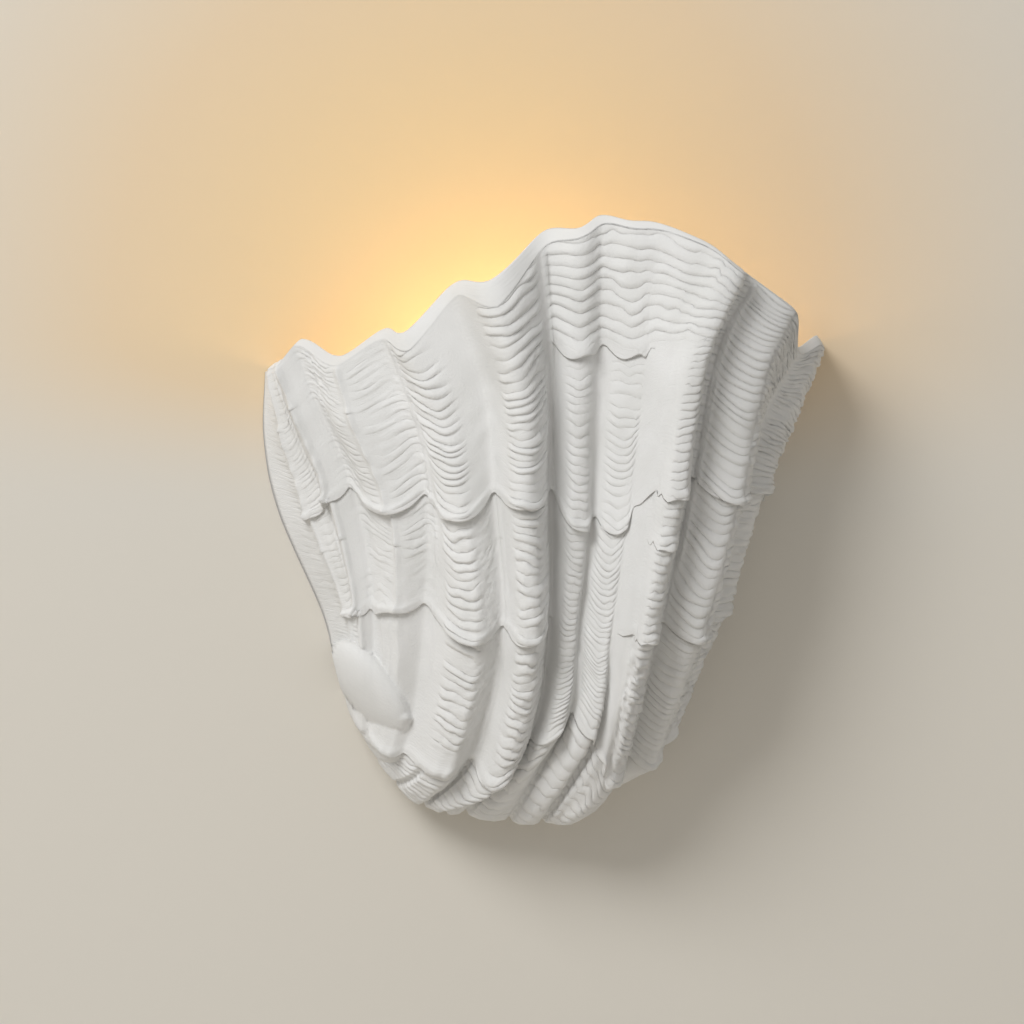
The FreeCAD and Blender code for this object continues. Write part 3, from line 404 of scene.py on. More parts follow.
# %% Where the edges are
EDGES = (   # along | reach of the lip in mm | crests that it spans | how fast the skirt dies away in mm
    (LOW_EDGE, 5.4, ((2.25, 13.0),), 8.0),
    (MIDDLE_EDGE, 4.8, ((0.75, 5.58), (7.75, 13.0)), 8.0),
    (221.0, 2.4, ((8.3, 9.4),), 6.0),
    (HIGH_EDGE, 5.2, ((0.75, 13.0),), 8.5),
    (335.0, 3.6, ((5.62, 7.5),), 7.0),
)
SKIRT_AT_WALL = 0.2         # share of the reach that is left where the shell meets the wall
SKIRT_RUN = 30.0            # depth over which the skirt grows to its reach
LIP_ROLL = 0.3              # how much thicker the rounded lip is, as a share of the reach
SKIRT_IN_FURROW = 0.35      # share of the reach that is left at the bottom of a furrow
SPAN_END = 0.14             # half the stretch across over which a lip dies away at the end of its span


def window(x, low, high, soft):
    """1 between low and high, 0 outside, with soft ends."""
    return smooth(low - soft, low + soft, x) * (1 - smooth(high - soft, high + soft, x))


def noise(x, y, seed):
    """Smooth values from -1 to 1 that wander over a plane, the same on every run."""
    table = np.random.default_rng(seed).uniform(-1, 1, (64, 64))
    i, j = np.floor(x).astype(int), np.floor(y).astype(int)
    s, t = smooth(0, 1, x - i), smooth(0, 1, y - j)
    low = table[i % 64, j % 64] * (1 - s) + table[(i + 1) % 64, j % 64] * s
    high = table[i % 64, (j + 1) % 64] * (1 - s) + table[(i + 1) % 64, (j + 1) % 64] * s
    return low * (1 - t) + high * t


def reach(edge, u, depth, fall):
    """How far the lip of an edge stands out at each place across."""
    _, size, spans, _ = EDGES[edge]
    ragged = 1 + 0.14 * noise(u * 2.3, u * 0, 40 + edge) + 0.1 * noise(u * 9, u * 0, 50 + edge)
    at_wall = SKIRT_AT_WALL + (1 - SKIRT_AT_WALL) * np.minimum(depth / SKIRT_RUN, 1)
    spared = sum(window(u, low, high, SPAN_END) for low, high in spans)
    return size * ragged * at_wall * (1 - (1 - SKIRT_IN_FURROW) * fall) * spared


print(len(EDGES), "growth edges")

# %% [markdown]
# ## Ripples, riblets, pits and the beak
# Between the edges every flank carries fine growth ripples: short rounded crescents, a little steeper
# below than above, like worn shingles, that come and go. They are added square to the skin. Each band
# has its own spacing and height, and each ripple its own random stretch across. The same count of
# ripples is kept as an attribute, so that the plaster's bump can draw the narrow crease between two of
# them, for which the mesh is too coarse. The riblets are narrow ridges up some furrows and left crests.

# %% Places of the small relief
RIPPLES = (  # across from, to | along from, to | apart | height | bow | how broken up
    (0.10, 0.90, 100.0, 384.0, 5.0, 0.3, 0.0, 0.9),
    (1.15, 1.85, 90.0, 386.0, 5.0, 0.5, -0.2, 0.7),
    (2.12, 2.90, 172.0, 386.0, 5.2, 0.5, 0.1, 0.9),
    (3.10, 3.50, 172.0, 386.0, 7.0, 0.6, -0.3, 0.95),
    (3.64, 4.12, 100.0, 386.0, 6.2, 1.6, 0.12, 0.75),
    (4.74, 5.42, 84.0, 386.0, 5.4, 1.5, 0.3, 0.72),
    (5.58, 9.56, 339.0, 392.0, 4.9, 1.35, 0.0, 0.42),
    (5.82, 6.25, 86.0, 333.0, 4.8, 0.9, 0.4, 0.6),
    (6.66, 7.35, 86.0, 333.0, 4.8, 0.8, 0.4, 0.6),
    (8.75, 9.58, 84.0, 338.0, 4.8, 1.4, 0.25, 0.6),
    (9.62, 9.98, 172.0, 388.0, 5.2, 1.3, -0.7, 0.45),
    (10.02, 10.50, 60.0, 386.0, 4.8, 1.6, 0.2, 0.65),
    (10.60, 11.70, 90.0, 384.0, 4.6, 1.2, 0.0, 0.7),
    (9.62, 9.98, 84.0, 170.0, 4.8, 1.2, -0.4, 0.6),
    (3.15, 5.50, 6.0, 80.0, 4.8, 1.2, 0.0, 0.5),
    (5.60, 9.60, 6.0, 80.0, 4.8, 1.2, 0.0, 0.5),
)
RIBLETS = (  # across at the lowest edge, at the rim | along from, to | half width | height, in mm
    (1.0, 1.0, 120.0, 386.0, 1.6, 2.2),
    (1.45, 1.45, 120.0, 386.0, 1.3, 1.3),
    (2.0, 2.0, 120.0, 386.0, 1.7, 2.6),
    (2.5, 2.35, 247.0, 384.0, 1.1, 0.8),
    (3.0, 3.0, 130.0, 386.0, 1.9, 2.6),
    (2.62, 2.62, 96.0, 172.0, 1.2, 1.3),
    (2.82, 2.82, 96.0, 168.0, 1.1, 1.0),
    (3.35, 3.62, 130.0, 384.0, 1.2, 1.3),
    (4.46, 4.52, 90.0, 247.0, 1.2, 1.6),
    (5.60, 5.58, 247.0, 386.0, 1.2, 1.8),
    (9.64, 9.62, 200.0, 386.0, 1.3, 1.9),
)
GROOVES = (3.6, 4.42, 5.1, 5.56, 6.58, 7.7, 9.6)    # across, where V grooves run down the lowest fans
GROOVE_DEEP = 3.2           # mm
GROOVE_WIDE = 3.0           # mm from the middle of a groove to its side
PITTED = (   # across from, to | along from, to | height in mm
    (8.3, 9.6, 90.0, 168.0, 1.8),
    (8.8, 9.6, 176.0, 330.0, 0.9),
    (10.0, 10.5, 90.0, 380.0, 1.5),
    (3.8, 4.4, 96.0, 245.0, 0.5),
    (10.6, 11.6, 90.0, 380.0, 1.4),
    (3.1, 3.5, 176.0, 380.0, 0.4),
    (4.7, 5.4, 84.0, 245.0, 0.6),
    (5.2, 5.5, 290.0, 345.0, 0.9),
    (2.15, 2.8, 345.0, 386.0, 0.9),
)
print(len(RIPPLES), "bands of ripples,", len(RIBLETS), "riblets,", len(PITTED), "pitted places")

# %% Height of the ripples
# Each wave: its size | waves for one crest across | millimetres for one along | seed
MEANDERS = ((0.55, 1.9, 17.0, 11), (0.3, 6.5, 8.0, 12))     # sizes in ripples
STEP_SHARE = 0.55           # of a ripple's height: the rest is a plain round swelling


def waves(u, v, table):
    """The sum of a table's waves."""
    return sum(size * noise(u * across, v / along, seed) for size, across, along, seed in table)


def ripples(u, v):
    """Height of the growth ripples, their count at each place, and how strong they are there."""
    meander = waves(u, v, MEANDERS)
    height, best = np.zeros_like(u), np.full_like(u, -9.0)
    count_here, strong = np.zeros_like(u), np.zeros_like(u)
    for i, (u0, u1, v0, v1, apart, high, bow, broken) in enumerate(RIPPLES):
        across = (u - (u0 + u1) / 2) / ((u1 - u0) / 2)
        wander = meander * (0.35 + broken) + 0.3 * noise(u * 0, v / 40, 13 + i)
        count = v / apart + wander + bow * np.clip(across, -1.3, 1.3) ** 2
        whole = np.floor(count)
        part = count - whole
        shingle = smooth(0, 0.24, part) * (1 - 0.92 * smooth(0.2, 1, part))
        lip = STEP_SHARE * shingle + (1 - STEP_SHARE) * (1 - np.abs(2 * part - 1) ** 3)
        stretch = smooth(-0.55, 0.35, noise(u * 3.8 + 5 * i, whole, 30 + i))
        place = window(u, u0, u1, 0.06) * window(v, v0, v1, 4)
        strength = high * place * (1 - broken + broken * stretch)
        height += strength * lip
        near = place - 0.05 * np.abs(across) - 0.02 * (np.maximum(v0 - v, 0) + np.maximum(v - v1, 0))
        count_here = np.where(near > best, count, count_here)
        strong = np.where(near > best, strength, strong)
        best = np.maximum(best, near)
    return height, count_here, strong


print("a ripple is made", round(STEP_SHARE * 100), "% of a step")

# %% Height of the whole relief
RIBLET_STRAY = 0.7          # mm to either side of its line
KNOB = 0.7                  # how much higher a riblet is where it ends in a lip, as a share
KNOB_RUN = 5.0              # mm over which that comes down
COARSE_PIT = (3.4, 3.0)     # mm across and along
FINE_PIT = (2.2, 2.1)
SWELLS = ((0.3, 6.0, 11.0, 90), (0.45, 2.5, 27.0, 91))      # sizes in mm


def relief(u, v, width):
    """Height in millimetres that is added square to the skin, with the ripples' count and strength."""
    height, count, strong = ripples(u, v)
    for low, high, v0, v1, half_width, size in RIBLETS:
        line = low + (high - low) * np.clip((v - LOW_EDGE) / (RIM - LOW_EDGE), 0, 1)
        off = (u - line) * width + RIBLET_STRAY * noise(v / 18, v * 0, 60)
        knob = 1 + sum(KNOB * np.exp(-np.abs(v - edge[0] - 2) / KNOB_RUN) * (v > edge[0]) for edge in EDGES)
        ridge = np.exp(-np.abs(off / half_width) ** 1.6)
        height += size * knob * ridge * window(v, v0, v1, 8) * (0.8 + 0.3 * noise(v / 9, v * 0, 61))
    for groove in GROOVES:
        off = np.abs(u - groove) * width / GROOVE_WIDE
        height -= GROOVE_DEEP * np.clip(1 - off, 0, 1) * window(v, 6, LOW_EDGE - 4, 6)
    for i, (u0, u1, v0, v1, size) in enumerate(PITTED):
        place = window(u, u0, u1, 0.1) * window(v, v0, v1, 8)
        coarse = noise(u * width / COARSE_PIT[0], v / COARSE_PIT[1], 70 + i)
        fine = noise(u * width / FINE_PIT[0], v / FINE_PIT[1], 80 + i)
        height += size * place * (0.7 * coarse + 0.5 * fine)
    height += waves(u, v, SWELLS)
    return height, count, strong


print(len(GROOVES), "grooves", GROOVE_DEEP, "mm deep")

# %% [markdown]
# The beak is where the shell began: a smooth egg with a small nose at its lower end. It is a form of
# its own, so it isn't added to the folds but laid over them, wherever it stands further out.

# %% The beak
# x and z of the middle | half length, half width | lean in degrees | depth of its seat there | slope of
# the seat in x and z | height over the seat
BEAK = (
    (-89.5, -108.0, 35.0, 15.5, -53.0, 30.5, (0.72, 0.28), 17.0),
    (-70.5, -124.5, 6.0, 4.6, -25.0, 44.0, (0.3, 0.1), 7.0),
)


def with_beak(points):
    """Moves the points that the egg and its nose cover out to their surface."""
    depth = -points[:, 1]
    covered = np.zeros_like(depth)
    for x, z, long, wide, lean, seat, slope, high in BEAK:
        c, s = math.cos(math.radians(lean)), math.sin(math.radians(lean))
        dx, dz = points[:, 0] - x, points[:, 2] - z
        q = ((dx * c + dz * s) / long) ** 2 + ((dz * c - dx * s) / wide) ** 2
        egg = seat + slope[0] * dx + slope[1] * dz + high * np.sqrt(np.clip(1 - q, 0, 1))
        inside = (q < 1) & (egg > depth)
        depth = np.where(inside, egg, depth)
        covered = np.where(inside, 1.0, covered)
    return np.stack([points[:, 0], -depth, points[:, 2]], axis=1), covered


print("beak", 2 * BEAK[0][2], "mm long")

# %% [markdown]
# ## Rows and columns
# The mesh is one sheet: up the outside, over the rim and down the inside. Columns are spread so that
# each covers the same width of skin, with more beside the riblets, and rows are close enough to show
# a ripple. At every growth edge seven extra rows make the fold. The rim is bevelled towards the room,
# widest on the left lobes, where the photograph shows the lip's face.

# %% Sizes of the mesh
ROW_STEP = 1.14             # millimetres from row to row, up the outside
COLUMNS = 258
PLAIN_SIDES = 0.35          # share of the columns that the plain sides by the wall do without
RIBLET_EXTRA = 1.3          # share of columns that is added beside a riblet
INNER_ROWS = 20
# The rim's face: places across, and how many millimetres below the rim it starts there
LIP = ((0, 1, 2, 2.35, 3, 3.6, 4, 4.5, 5, 5.56, 6, 7, 8, 9, 9.7, 10, 10.5, 11, 12),
       (4, 5, 7, 6, 9, 9, 13, 8, 14, 7, 3.5, 3, 3, 4, 4, 6, 8, 8, 7))
# Rows of a fold: millimetres past the edge | share of the reach added to that | share of the reach out |
# millimetres past the edge at which it lies where the lip has no reach
FOLD = ((0.0, 0.15, 0.0, -0.7), (0.3, 0.65, -0.05, -0.2), (0.3, 0.6, 0.35, 0.3), (0.1, 0.15, 0.72, 0.8),
        (-0.5, 0.0, 0.94, 1.3), (0.3, 0.0, 1.06, 1.8), (1.5, 0.0, 1.04, 2.3))
FOLD_ROOM = 2.8             # regular rows start again this far past an edge
FOLDED_FROM = 1.5           # reach in mm from which a row is folded in full
EDGE_ROOM = 1.2             # regular rows stop this far short of an edge, or of the rim
PEAKED = 7.0                # how steeply the lips climb to a peak in each furrow
WANDER = 1.4                # millimetres that a lip strays up and down
EDGE_WAVE = 14.0            # the rows beside an edge follow its course over this many millimetres
RIM_ROWS = 345.0            # from here the rows close up or spread to end at the lip's face
FACE_GAP = 0.8              # the last of them ends this far short of that face
print(len(FOLD), "rows in a fold, lip's face up to", max(LIP[1]), "mm")

# %% Rows and columns
def rows_of_the_outside():
    """Each row as along, share of the edge's reach added to it, edges passed, share of the next, and
    where it lies flat."""
    rows, low = [], 0.0
    for number, edge in enumerate(EDGES + ((RIM,),)):
        high = edge[0] - EDGE_ROOM
        count = max(int(round((high - low) / ROW_STEP)), 1)
        rows += [(at, 0.0, number, 0.0, at) for at in np.linspace(low, high, count + 1)]
        if number < len(EDGES):
            rows += [(edge[0] + past, more, number, share, edge[0] + flat)
                     for past, more, share, flat in FOLD]
        low = edge[0] + FOLD_ROOM
    return rows


def even_columns():
    """Places across that each cover the same width of skin, with more of them beside the riblets."""
    u = np.linspace(0, LAST, 1201)
    width = np.mean([way_out(u, np.full_like(u, v))[1] for v in (120.0, 220.0, 320.0)], axis=0)
    width *= 1 - PLAIN_SIDES * (window(u, -1.0, 0.9, 0.1) + window(u, 10.6, 13.0, 0.1))
    for low, high, *_ in RIBLETS:
        width *= 1 + RIBLET_EXTRA * np.exp(-((u - (low + high) / 2) * 24) ** 2)
    run = np.concatenate([[0], np.cumsum((width[1:] + width[:-1]) / 2)])
    return np.interp(np.linspace(0, run[-1], COLUMNS), run, u)


outer_rows = rows_of_the_outside()
columns = even_columns()
print(len(outer_rows), "outer rows,", len(columns), "columns")

# %% Points of the outside
TIER_SHARE = 0.34           # share of a long edge's reach that dies away slowly, up the whole tier
TIER_RUN = 125.0            # millimetres over which it does
ROLL_AT = 2.4               # millimetres past the edge where the lip is thickest


def skirts(u, v, depth, fall, passed, share):
    """How far the tiers stand out: every edge passed, and a share of the next one."""
    stand = np.zeros_like(u)
    for number, (along, _, spans, dies) in enumerate(EDGES):
        size = reach(number, u, depth, fall)
        past = np.maximum(v - along, 0)
        across_all = spans[-1][1] > LAST
        away = np.exp(-past / dies)
        if across_all:
            away = (1 - TIER_SHARE) * away + TIER_SHARE * np.clip(1 - past / TIER_RUN, 0, 1)
        away += LIP_ROLL * np.exp(-((past - ROLL_AT) / ROLL_AT) ** 2)
        stand += size * np.where(passed > number, away, 0) + size * share * (passed == number)
    return stand


def outer_points():
    """Every point of the outside, as across, along, edges passed and share of the next one."""
    u = np.tile(columns, len(outer_rows))
    along, more, passed, share, flat = [np.repeat([r[i] for r in outer_rows], COLUMNS) for i in range(5)]
    _, _, depth, fall = skin(u, along)
    nearest = np.minimum(passed, len(EDGES) - 1).astype(int)
    size = np.choose(nearest, [reach(i, u, depth, fall) for i in range(len(EDGES))])
    wave = np.zeros_like(u)
    for i, edge in enumerate(EDGES):
        beside = np.exp(-np.abs(along - edge[0]) / EDGE_WAVE)
        wave += (WANDER * noise(u * 3.1, u * 0 + i, 95) - PEAKED * (fall - fall ** 3)) * beside
    folded = np.clip(size / FOLDED_FROM, 0, 1)
    v = flat + (along + more * size - flat) * folded + wave * np.minimum(along / 20, 1)
    top = RIM - np.interp(u, *LIP) - FACE_GAP
    stretch = (top - RIM_ROWS) / (RIM - EDGE_ROOM - RIM_ROWS)
    v = np.where(v > RIM_ROWS, RIM_ROWS + (v - RIM_ROWS) * stretch, v)
    return u, np.clip(v, 0, RIM), passed, share


print("a lip's roll is", round(LIP_ROLL * EDGES[0][1], 1), "mm at the lowest edge")

# %% Points of the rim, the inside and the whole sheet
WALL_FADE = 14.0            # no relief at the wall: it grows to its height over this much depth
FOOT_FADE = 10.0            # and over this much along
LIP_FADE = (0.6, 4.5)       # and between these distances from the rim's face
INNER_CREST = 30.0          # width in mm that the inside's texture takes for one crest across


def lip_points():
    """Rows of the bevelled rim and the inner skin: along, and share of the wall's thickness inwards."""
    depth = np.interp(columns, *LIP)
    face = ((1.0, 0.0), (0.94, 0.04), (0.66, 0.25), (0.36, 0.5), (0.12, 0.72), (0.0, 0.86))
    rows = [(RIM - below * depth, inwards) for below, inwards in face]
    rows += [(RIM - 0.7 + 0 * depth, 0.97)]
    rows += [(RIM - 2.5 - (RIM - 2.5) * (i / (INNER_ROWS - 1)) + 0 * depth, 1.0) for i in range(INNER_ROWS)]
    return rows


def whole_sheet():
    """Every point of the sheet, row by row, and for each its place on the skin in millimetres, its
    ripples' strength and its ripples' count."""
    u, v, passed, share = outer_points()
    base, out, depth, fall = skin(u, v)
    normal, width = way_out(u, v)
    height, count, strong = relief(u, v, width)
    off_wall = smooth(0, WALL_FADE, depth) * smooth(0, FOOT_FADE, v)
    fade = smooth(*LIP_FADE, RIM - np.interp(u, *LIP) - v)
    stand = skirts(u, v, depth, fall, passed, share)
    raised, covered = with_beak(base + out * stand[:, None])
    bare = (height * off_wall * fade * (1 - covered))[:, None]
    points = [raised + normal * bare]
    marks = [np.stack([u * width, v, strong * off_wall * (1 - covered), count], axis=1)]
    rim_stand = stand[-COLUMNS:]
    for row_v, inwards in lip_points():
        at, away, _, _ = skin(columns, row_v)
        keep = rim_stand * np.clip(1 - inwards * 1.2, 0, 1)
        edge = skin(columns, row_v, inset=WALL_THICKNESS * inwards)[0] + away * keep[:, None]
        points.append(edge)
        marks.append(np.stack([columns * INNER_CREST, row_v, 0 * row_v, 0 * row_v], axis=1))
    return np.concatenate(points), np.concatenate(marks)


sheet, growth = whole_sheet()
sheet_rows = len(sheet) // COLUMNS
print(len(sheet), "points,", (COLUMNS - 1) * (sheet_rows - 1) * 2, "triangles")

# %% [markdown]
# ## From the rule to a mesh
# A grid from one operator gives the faces, and every vertex is moved to its place by the rule. The
# sheet's open edge lies flat on the wall, so one fill closes it.

# %% Shell mesh
def new_object(name, work, body, *replaced):
    """Makes a bmesh a shaded object that rides on a body and stands for the nodes it replaces."""
    mesh = bpy.data.meshes.new(name)
    work.to_mesh(mesh)
    work.free()
    made = bpy.data.objects.new(name, mesh)
    bpy.context.scene.collection.objects.link(made)
    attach(made, body)
    if replaced:
        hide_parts(*replaced)
    return made


def sheet_grid(points, across):
    """A grid whose vertices are moved to points, row by row."""
    work = bmesh.new()
    down = len(points) // across
    bmesh.ops.create_grid(work, x_segments=across - 1, y_segments=down - 1, size=0.5)
    for vertex in work.verts:
        column = round((vertex.co.x + 0.5) * (across - 1))
        row = round((vertex.co.y + 0.5) * (down - 1))
        vertex.index = row * across + column
    work.verts.sort()
    for vertex, point in zip(work.verts, points):
        vertex.co = point
    return work


EASED = 6.0                 # the foremost crest is eased back over this much depth, to stay in the box
ON_THE_WALL = 0.01 * MM     # a point this near the wall lies on it
low_corner, high_corner = [np.array(corner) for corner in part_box("plaster_shell")]
front = -low_corner[1] / MM
ease = np.maximum(-sheet[:, 1] - (front - EASED), 0)
sheet[:, 1] = np.where(ease > 0, -(front - EASED + EASED * np.tanh(ease / EASED)), sheet[:, 1])
shell_points = np.clip(sheet * MM, low_corner, high_corner)
shell_work = sheet_grid(shell_points, COLUMNS)
wall_edges = [edge for edge in shell_work.edges if edge.is_boundary]
filled = bmesh.ops.holes_fill(shell_work, edges=wall_edges, sides=0)["faces"]
bmesh.ops.triangulate(shell_work, faces=filled)
for face in shell_work.faces:
    face.smooth = any(abs(vertex.co.y) > ON_THE_WALL for vertex in face.verts)
bmesh.ops.recalc_face_normals(shell_work, faces=shell_work.faces)
triangles = sum(len(face.verts) - 2 for face in shell_work.faces)
print(len(filled), "face on the wall,", triangles, "triangles in all")

# %% Shell object
shell = new_object("shell_cast", shell_work, "shell", "plaster_shell")
across, along, strength, count = growth[:len(shell.data.vertices)].T
for name, first, second in (("growth", across, along), ("ripple", count, strength)):
    attribute = shell.data.attributes.new(name, "FLOAT_VECTOR", "POINT")
    attribute.data.foreach_set("vector", np.stack([first, second, 0 * first], axis=1).ravel())
print("shell", [round(d, 4) for d in shell.dimensions], "m")

# %% [markdown]
# ## Bosses in the cast
# Gypsum holds no screw thread, so the maker casts two thick bosses in one with the side walls and sets
# brass inserts in them. Each starts as a cube. Its inner corners go where the strap needs them, and its
# outer corners are looked up on the shell's own rule, half way through the wall, so no gap can open.

# %% Bosses
BOSS_DEPTHS = (6.2, 24.0)       # from the wall: just in front of the strap, and the boss's front
BOSS_HEIGHTS = (14.0, 44.0)
BOSS_INNER_X = {"left": -100.0, "right": 97.0}
BOSS_ROUND = 2.0                # radius of its edges
SIDE_WALLS = {"left": (0.0, 2.4), "right": (9.6, 12.0)}     # crests among which the side walls lie


def side_wall_x(depth, z, side):
    """x of the middle of the cast's wall at a depth and a height."""
    u, v = np.meshgrid(np.linspace(*SIDE_WALLS[side], 60), np.linspace(LOW_EDGE, RIM, 300))
    middle = skin(u.ravel(), v.ravel(), inset=WALL_THICKNESS / 2)[0]
    return middle[np.argmin(np.hypot(middle[:, 1] + depth, middle[:, 2] - z)), 0]


def boss(side):
    """A rounded block from the strap's screws to the middle of the side wall."""
    work = bmesh.new()
    bmesh.ops.create_cube(work, size=2.0)
    for vertex in work.verts:
        depth = BOSS_DEPTHS[vertex.co.y < 0]
        z = BOSS_HEIGHTS[vertex.co.z > 0]
        outer = (vertex.co.x > 0) == (side == "right")
        x = side_wall_x(depth, z, side) if outer else BOSS_INNER_X[side]
        vertex.co = (x * MM, -depth * MM, z * MM)
    bmesh.ops.bevel(work, geom=work.edges[:], offset=BOSS_ROUND * MM, segments=3, profile=0.5,
                    affect="EDGES", material=-1)
    for face in work.faces:
        face.smooth = True
    bmesh.ops.recalc_face_normals(work, faces=work.faces)
    return new_object("insert_boss_" + side, work, "shell", "plaster_shell")


bosses = [boss(side) for side in SIDE_WALLS]
print(len(bosses), "bosses of", [round(piece.dimensions.x / MM) for piece in bosses], "mm")

# %% [markdown]
# ## Rolled threads
# The bulb's cap and the holder's inner shell are thin sheet with a round thread rolled into it, 3.629 mm
# from turn to turn. A screw modifier leaves ragged ends, so each is a grid wrapped round the lamp's axis
# instead, and its radius swells with the angle and the height together. Both follow the same phase, so
# they stay in mesh while the bulb turns and rises. Only the edges round their rims are marked sharp.

# %% Threaded sheet
PITCH = 3.629               # millimetres, as all of these
THREAD_DEEP = 0.95
THREAD_END = 0.8            # half the stretch over which the thread runs out
LAMP_Y = -42.0
AROUND = 96                 # faces round the tube
THREAD_ROWS = 90
CRISP = 50                  # degrees, above which an edge is a rim


def threaded(name, body, node, radius, thick, low, high, starts, ends):
    """A closed tube of sheet between two heights, with its thread from starts to ends, in millimetres."""
    levels = np.linspace(low, high, THREAD_ROWS)
    z = np.concatenate([levels, levels[::-1], levels[:1]])
    wall = np.concatenate([0 * levels, thick + 0 * levels, [0.0]])
    turn = np.linspace(0, 2 * math.pi, AROUND + 1)
    phase = 2 * math.pi * z[:, None] / PITCH - turn[None, :]
    sunk = (0.5 - 0.5 * np.cos(phase)) * window(z, starts, ends, THREAD_END)[:, None]
    r = radius - wall[:, None] - THREAD_DEEP * sunk
    points = np.stack([r * np.cos(turn), LAMP_Y + r * np.sin(turn), z[:, None] + 0 * r], axis=2)
    work = sheet_grid(points.reshape(-1, 3) * MM, AROUND + 1)
    bmesh.ops.remove_doubles(work, verts=work.verts, dist=0.001 * MM)
    for face in work.faces:
        face.smooth = True
    bmesh.ops.recalc_face_normals(work, faces=work.faces)
    work.normal_update()
    for edge in work.edges:
        edge.smooth = edge.calc_face_angle(0.0) < math.radians(CRISP)
    return new_object(name, work, body, node)


cap = threaded("threaded_cap", "bulb", "bulb_cap", radius=13.1, thick=0.35,
               low=-21.6, high=2.4, starts=-20.6, ends=-1.5)
inner_shell = threaded("threaded_holder_shell", "wall_plate", "lampholder_screw_shell", radius=14.0,
                       thick=0.45, low=-27.5, high=-4.5, starts=-24.5, ends=-5.4)
print("threads of", PITCH, "mm on", cap.name, "and", inner_shell.name)

# %% [markdown]
# ## The leads
# Three insulated leads run from the terminal block to the holder and the plate. Each is one smooth curve
# with its points listed: straight out of the screw, down in a slack bow under its own weight, and
# up into the holder. A curve with a round bevel is the right tool, as its length can be measured.

# %% Leads
LEAD_WIDE = 2.4
LEADS = {   # name: length in millimetres, finish, points in millimetres
    "earth_lead": (91.6, "lead_green", (
        (26, -10, -32), (25, -9.5, -45), (15, -8.5, -55), (-1, -7.5, -60), (-18, -6.5, -61), (-32, -5.5, -58),
        (-38, -3.6, -52), (-38, -3.6, -43))),
    "neutral_lead": (104.3, "lead_white", (
        (36, -10, -32), (35, -11, -45), (27, -15, -58), (12, -20, -68), (-4, -29, -73), (-7, -40, -68),
        (-2.6, -42, -58), (-2.6, -42, -41))),
    "live_lead": (97.9, "lead_black", (
        (46, -10, -32), (46, -11, -47), (38, -19, -60), (23, -31, -68), (8, -41, -69), (2.6, -42, -58),
        (2.6, -42, -41))),
}


def lead(node, points):
    """A round insulated wire along a smooth curve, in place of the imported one."""
    line = bpy.data.curves.new(node + "_run", "CURVE")
    line.dimensions = "3D"
    line.resolution_u = 10
    line.bevel_depth = 1.0      # times each point's radius, which holds the real one
    line.bevel_resolution = 4
    line.use_fill_caps = True
    spline = line.splines.new("NURBS")
    spline.points.add(len(points) - 1)
    for point, place in zip(spline.points, points):
        point.co = [c * MM for c in place] + [1.0]
        point.radius = LEAD_WIDE / 2 * MM
    spline.order_u = 3
    spline.use_endpoint_u = True
    made = bpy.data.objects.new(node + "_run", line)
    bpy.context.scene.collection.objects.link(made)
    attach(made, "wall_plate")
    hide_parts(node)
    return made


leads = {finish: lead(node, points) for node, (length, finish, points) in LEADS.items()}
print(len(leads), "leads,", round(sum(entry[0] for entry in LEADS.values())), "mm in all")

# %% [markdown]
# ## Finishes
# One table of plain finishes would leave every part looking alike, so each starts from what the real
# part is and how its surface was made.

# %% Plaster
CREASE_NARROW = 5.0         # the higher this power, the narrower the crease between two ripples
GRAIN = 0.9                 # mm. Plaster's own grain is finer, and would not show


def cast_plaster():
    """Unpainted casting plaster: dead matt, chalky, with fine growth lines taken from the mould."""
    made, tree, shader = blank("cast_plaster", Roughness=0.9, IOR=1.52, Specular_IOR_Level=0.3)
    place = add(tree, "TexCoord").outputs["Object"]
    cloud = add(tree, "TexNoise", {"Scale": 1 / (38 * MM), "Detail": 4.0}, {"Vector": place})
    colour = ramp(tree, cloud.outputs["Fac"], (0.3, "#D9D9D7"), (0.7, "#E2E2E1"))
    tree.links.new(colour, shader.inputs["Base Color"])
    counted = add(tree, "Attribute", {"attribute_name": "ripple"}).outputs["Vector"]
    ripple = add(tree, "SeparateXYZ", links={"Vector": counted})
    part = add(tree, "Math", {"operation": "FRACT"}, {0: ripple.outputs["X"]}).outputs["Value"]
    side = add(tree, "Math", {"operation": "MULTIPLY_ADD", 1: 2.0, 2: -1.0}, {0: part}).outputs["Value"]
    off = add(tree, "Math", {"operation": "ABSOLUTE"}, {0: side}).outputs["Value"]
    crease = add(tree, "Math", {"operation": "POWER", 1: CREASE_NARROW}, {0: off}).outputs["Value"]
    sunk = add(tree, "Math", {"operation": "MULTIPLY"}, {0: crease, 1: ripple.outputs["Y"]})
    grown = add(tree, "Attribute", {"attribute_name": "growth"}).outputs["Vector"]
    lines = add(tree, "Mapping", {"Scale": (0.12, 0.75, 0.0)}, {"Vector": grown})
    striae = add(tree, "TexNoise", {"Scale": 1.0, "Detail": 5.0, "Roughness": 0.6},
                 {"Vector": lines.outputs["Vector"]})
    grain = add(tree, "TexNoise", {"Scale": 1 / (GRAIN * MM), "Detail": 3.0}, {"Vector": place})
    creased = add(tree, "Bump", {"Strength": 0.8, "Distance": 0.6 * MM, "invert": True},
                  {"Height": sunk.outputs["Value"]})
    first = add(tree, "Bump", {"Strength": 0.45, "Distance": 0.8 * MM},
                {"Height": striae.outputs["Fac"], "Normal": creased.outputs["Normal"]})
    second = add(tree, "Bump", {"Strength": 0.25, "Distance": 0.12 * MM},
                 {"Height": grain.outputs["Fac"], "Normal": first.outputs["Normal"]})
    tree.links.new(second.outputs["Normal"], shader.inputs["Normal"])
    return made


shell.data.materials.append(cast_plaster())
print("plaster on the shell")

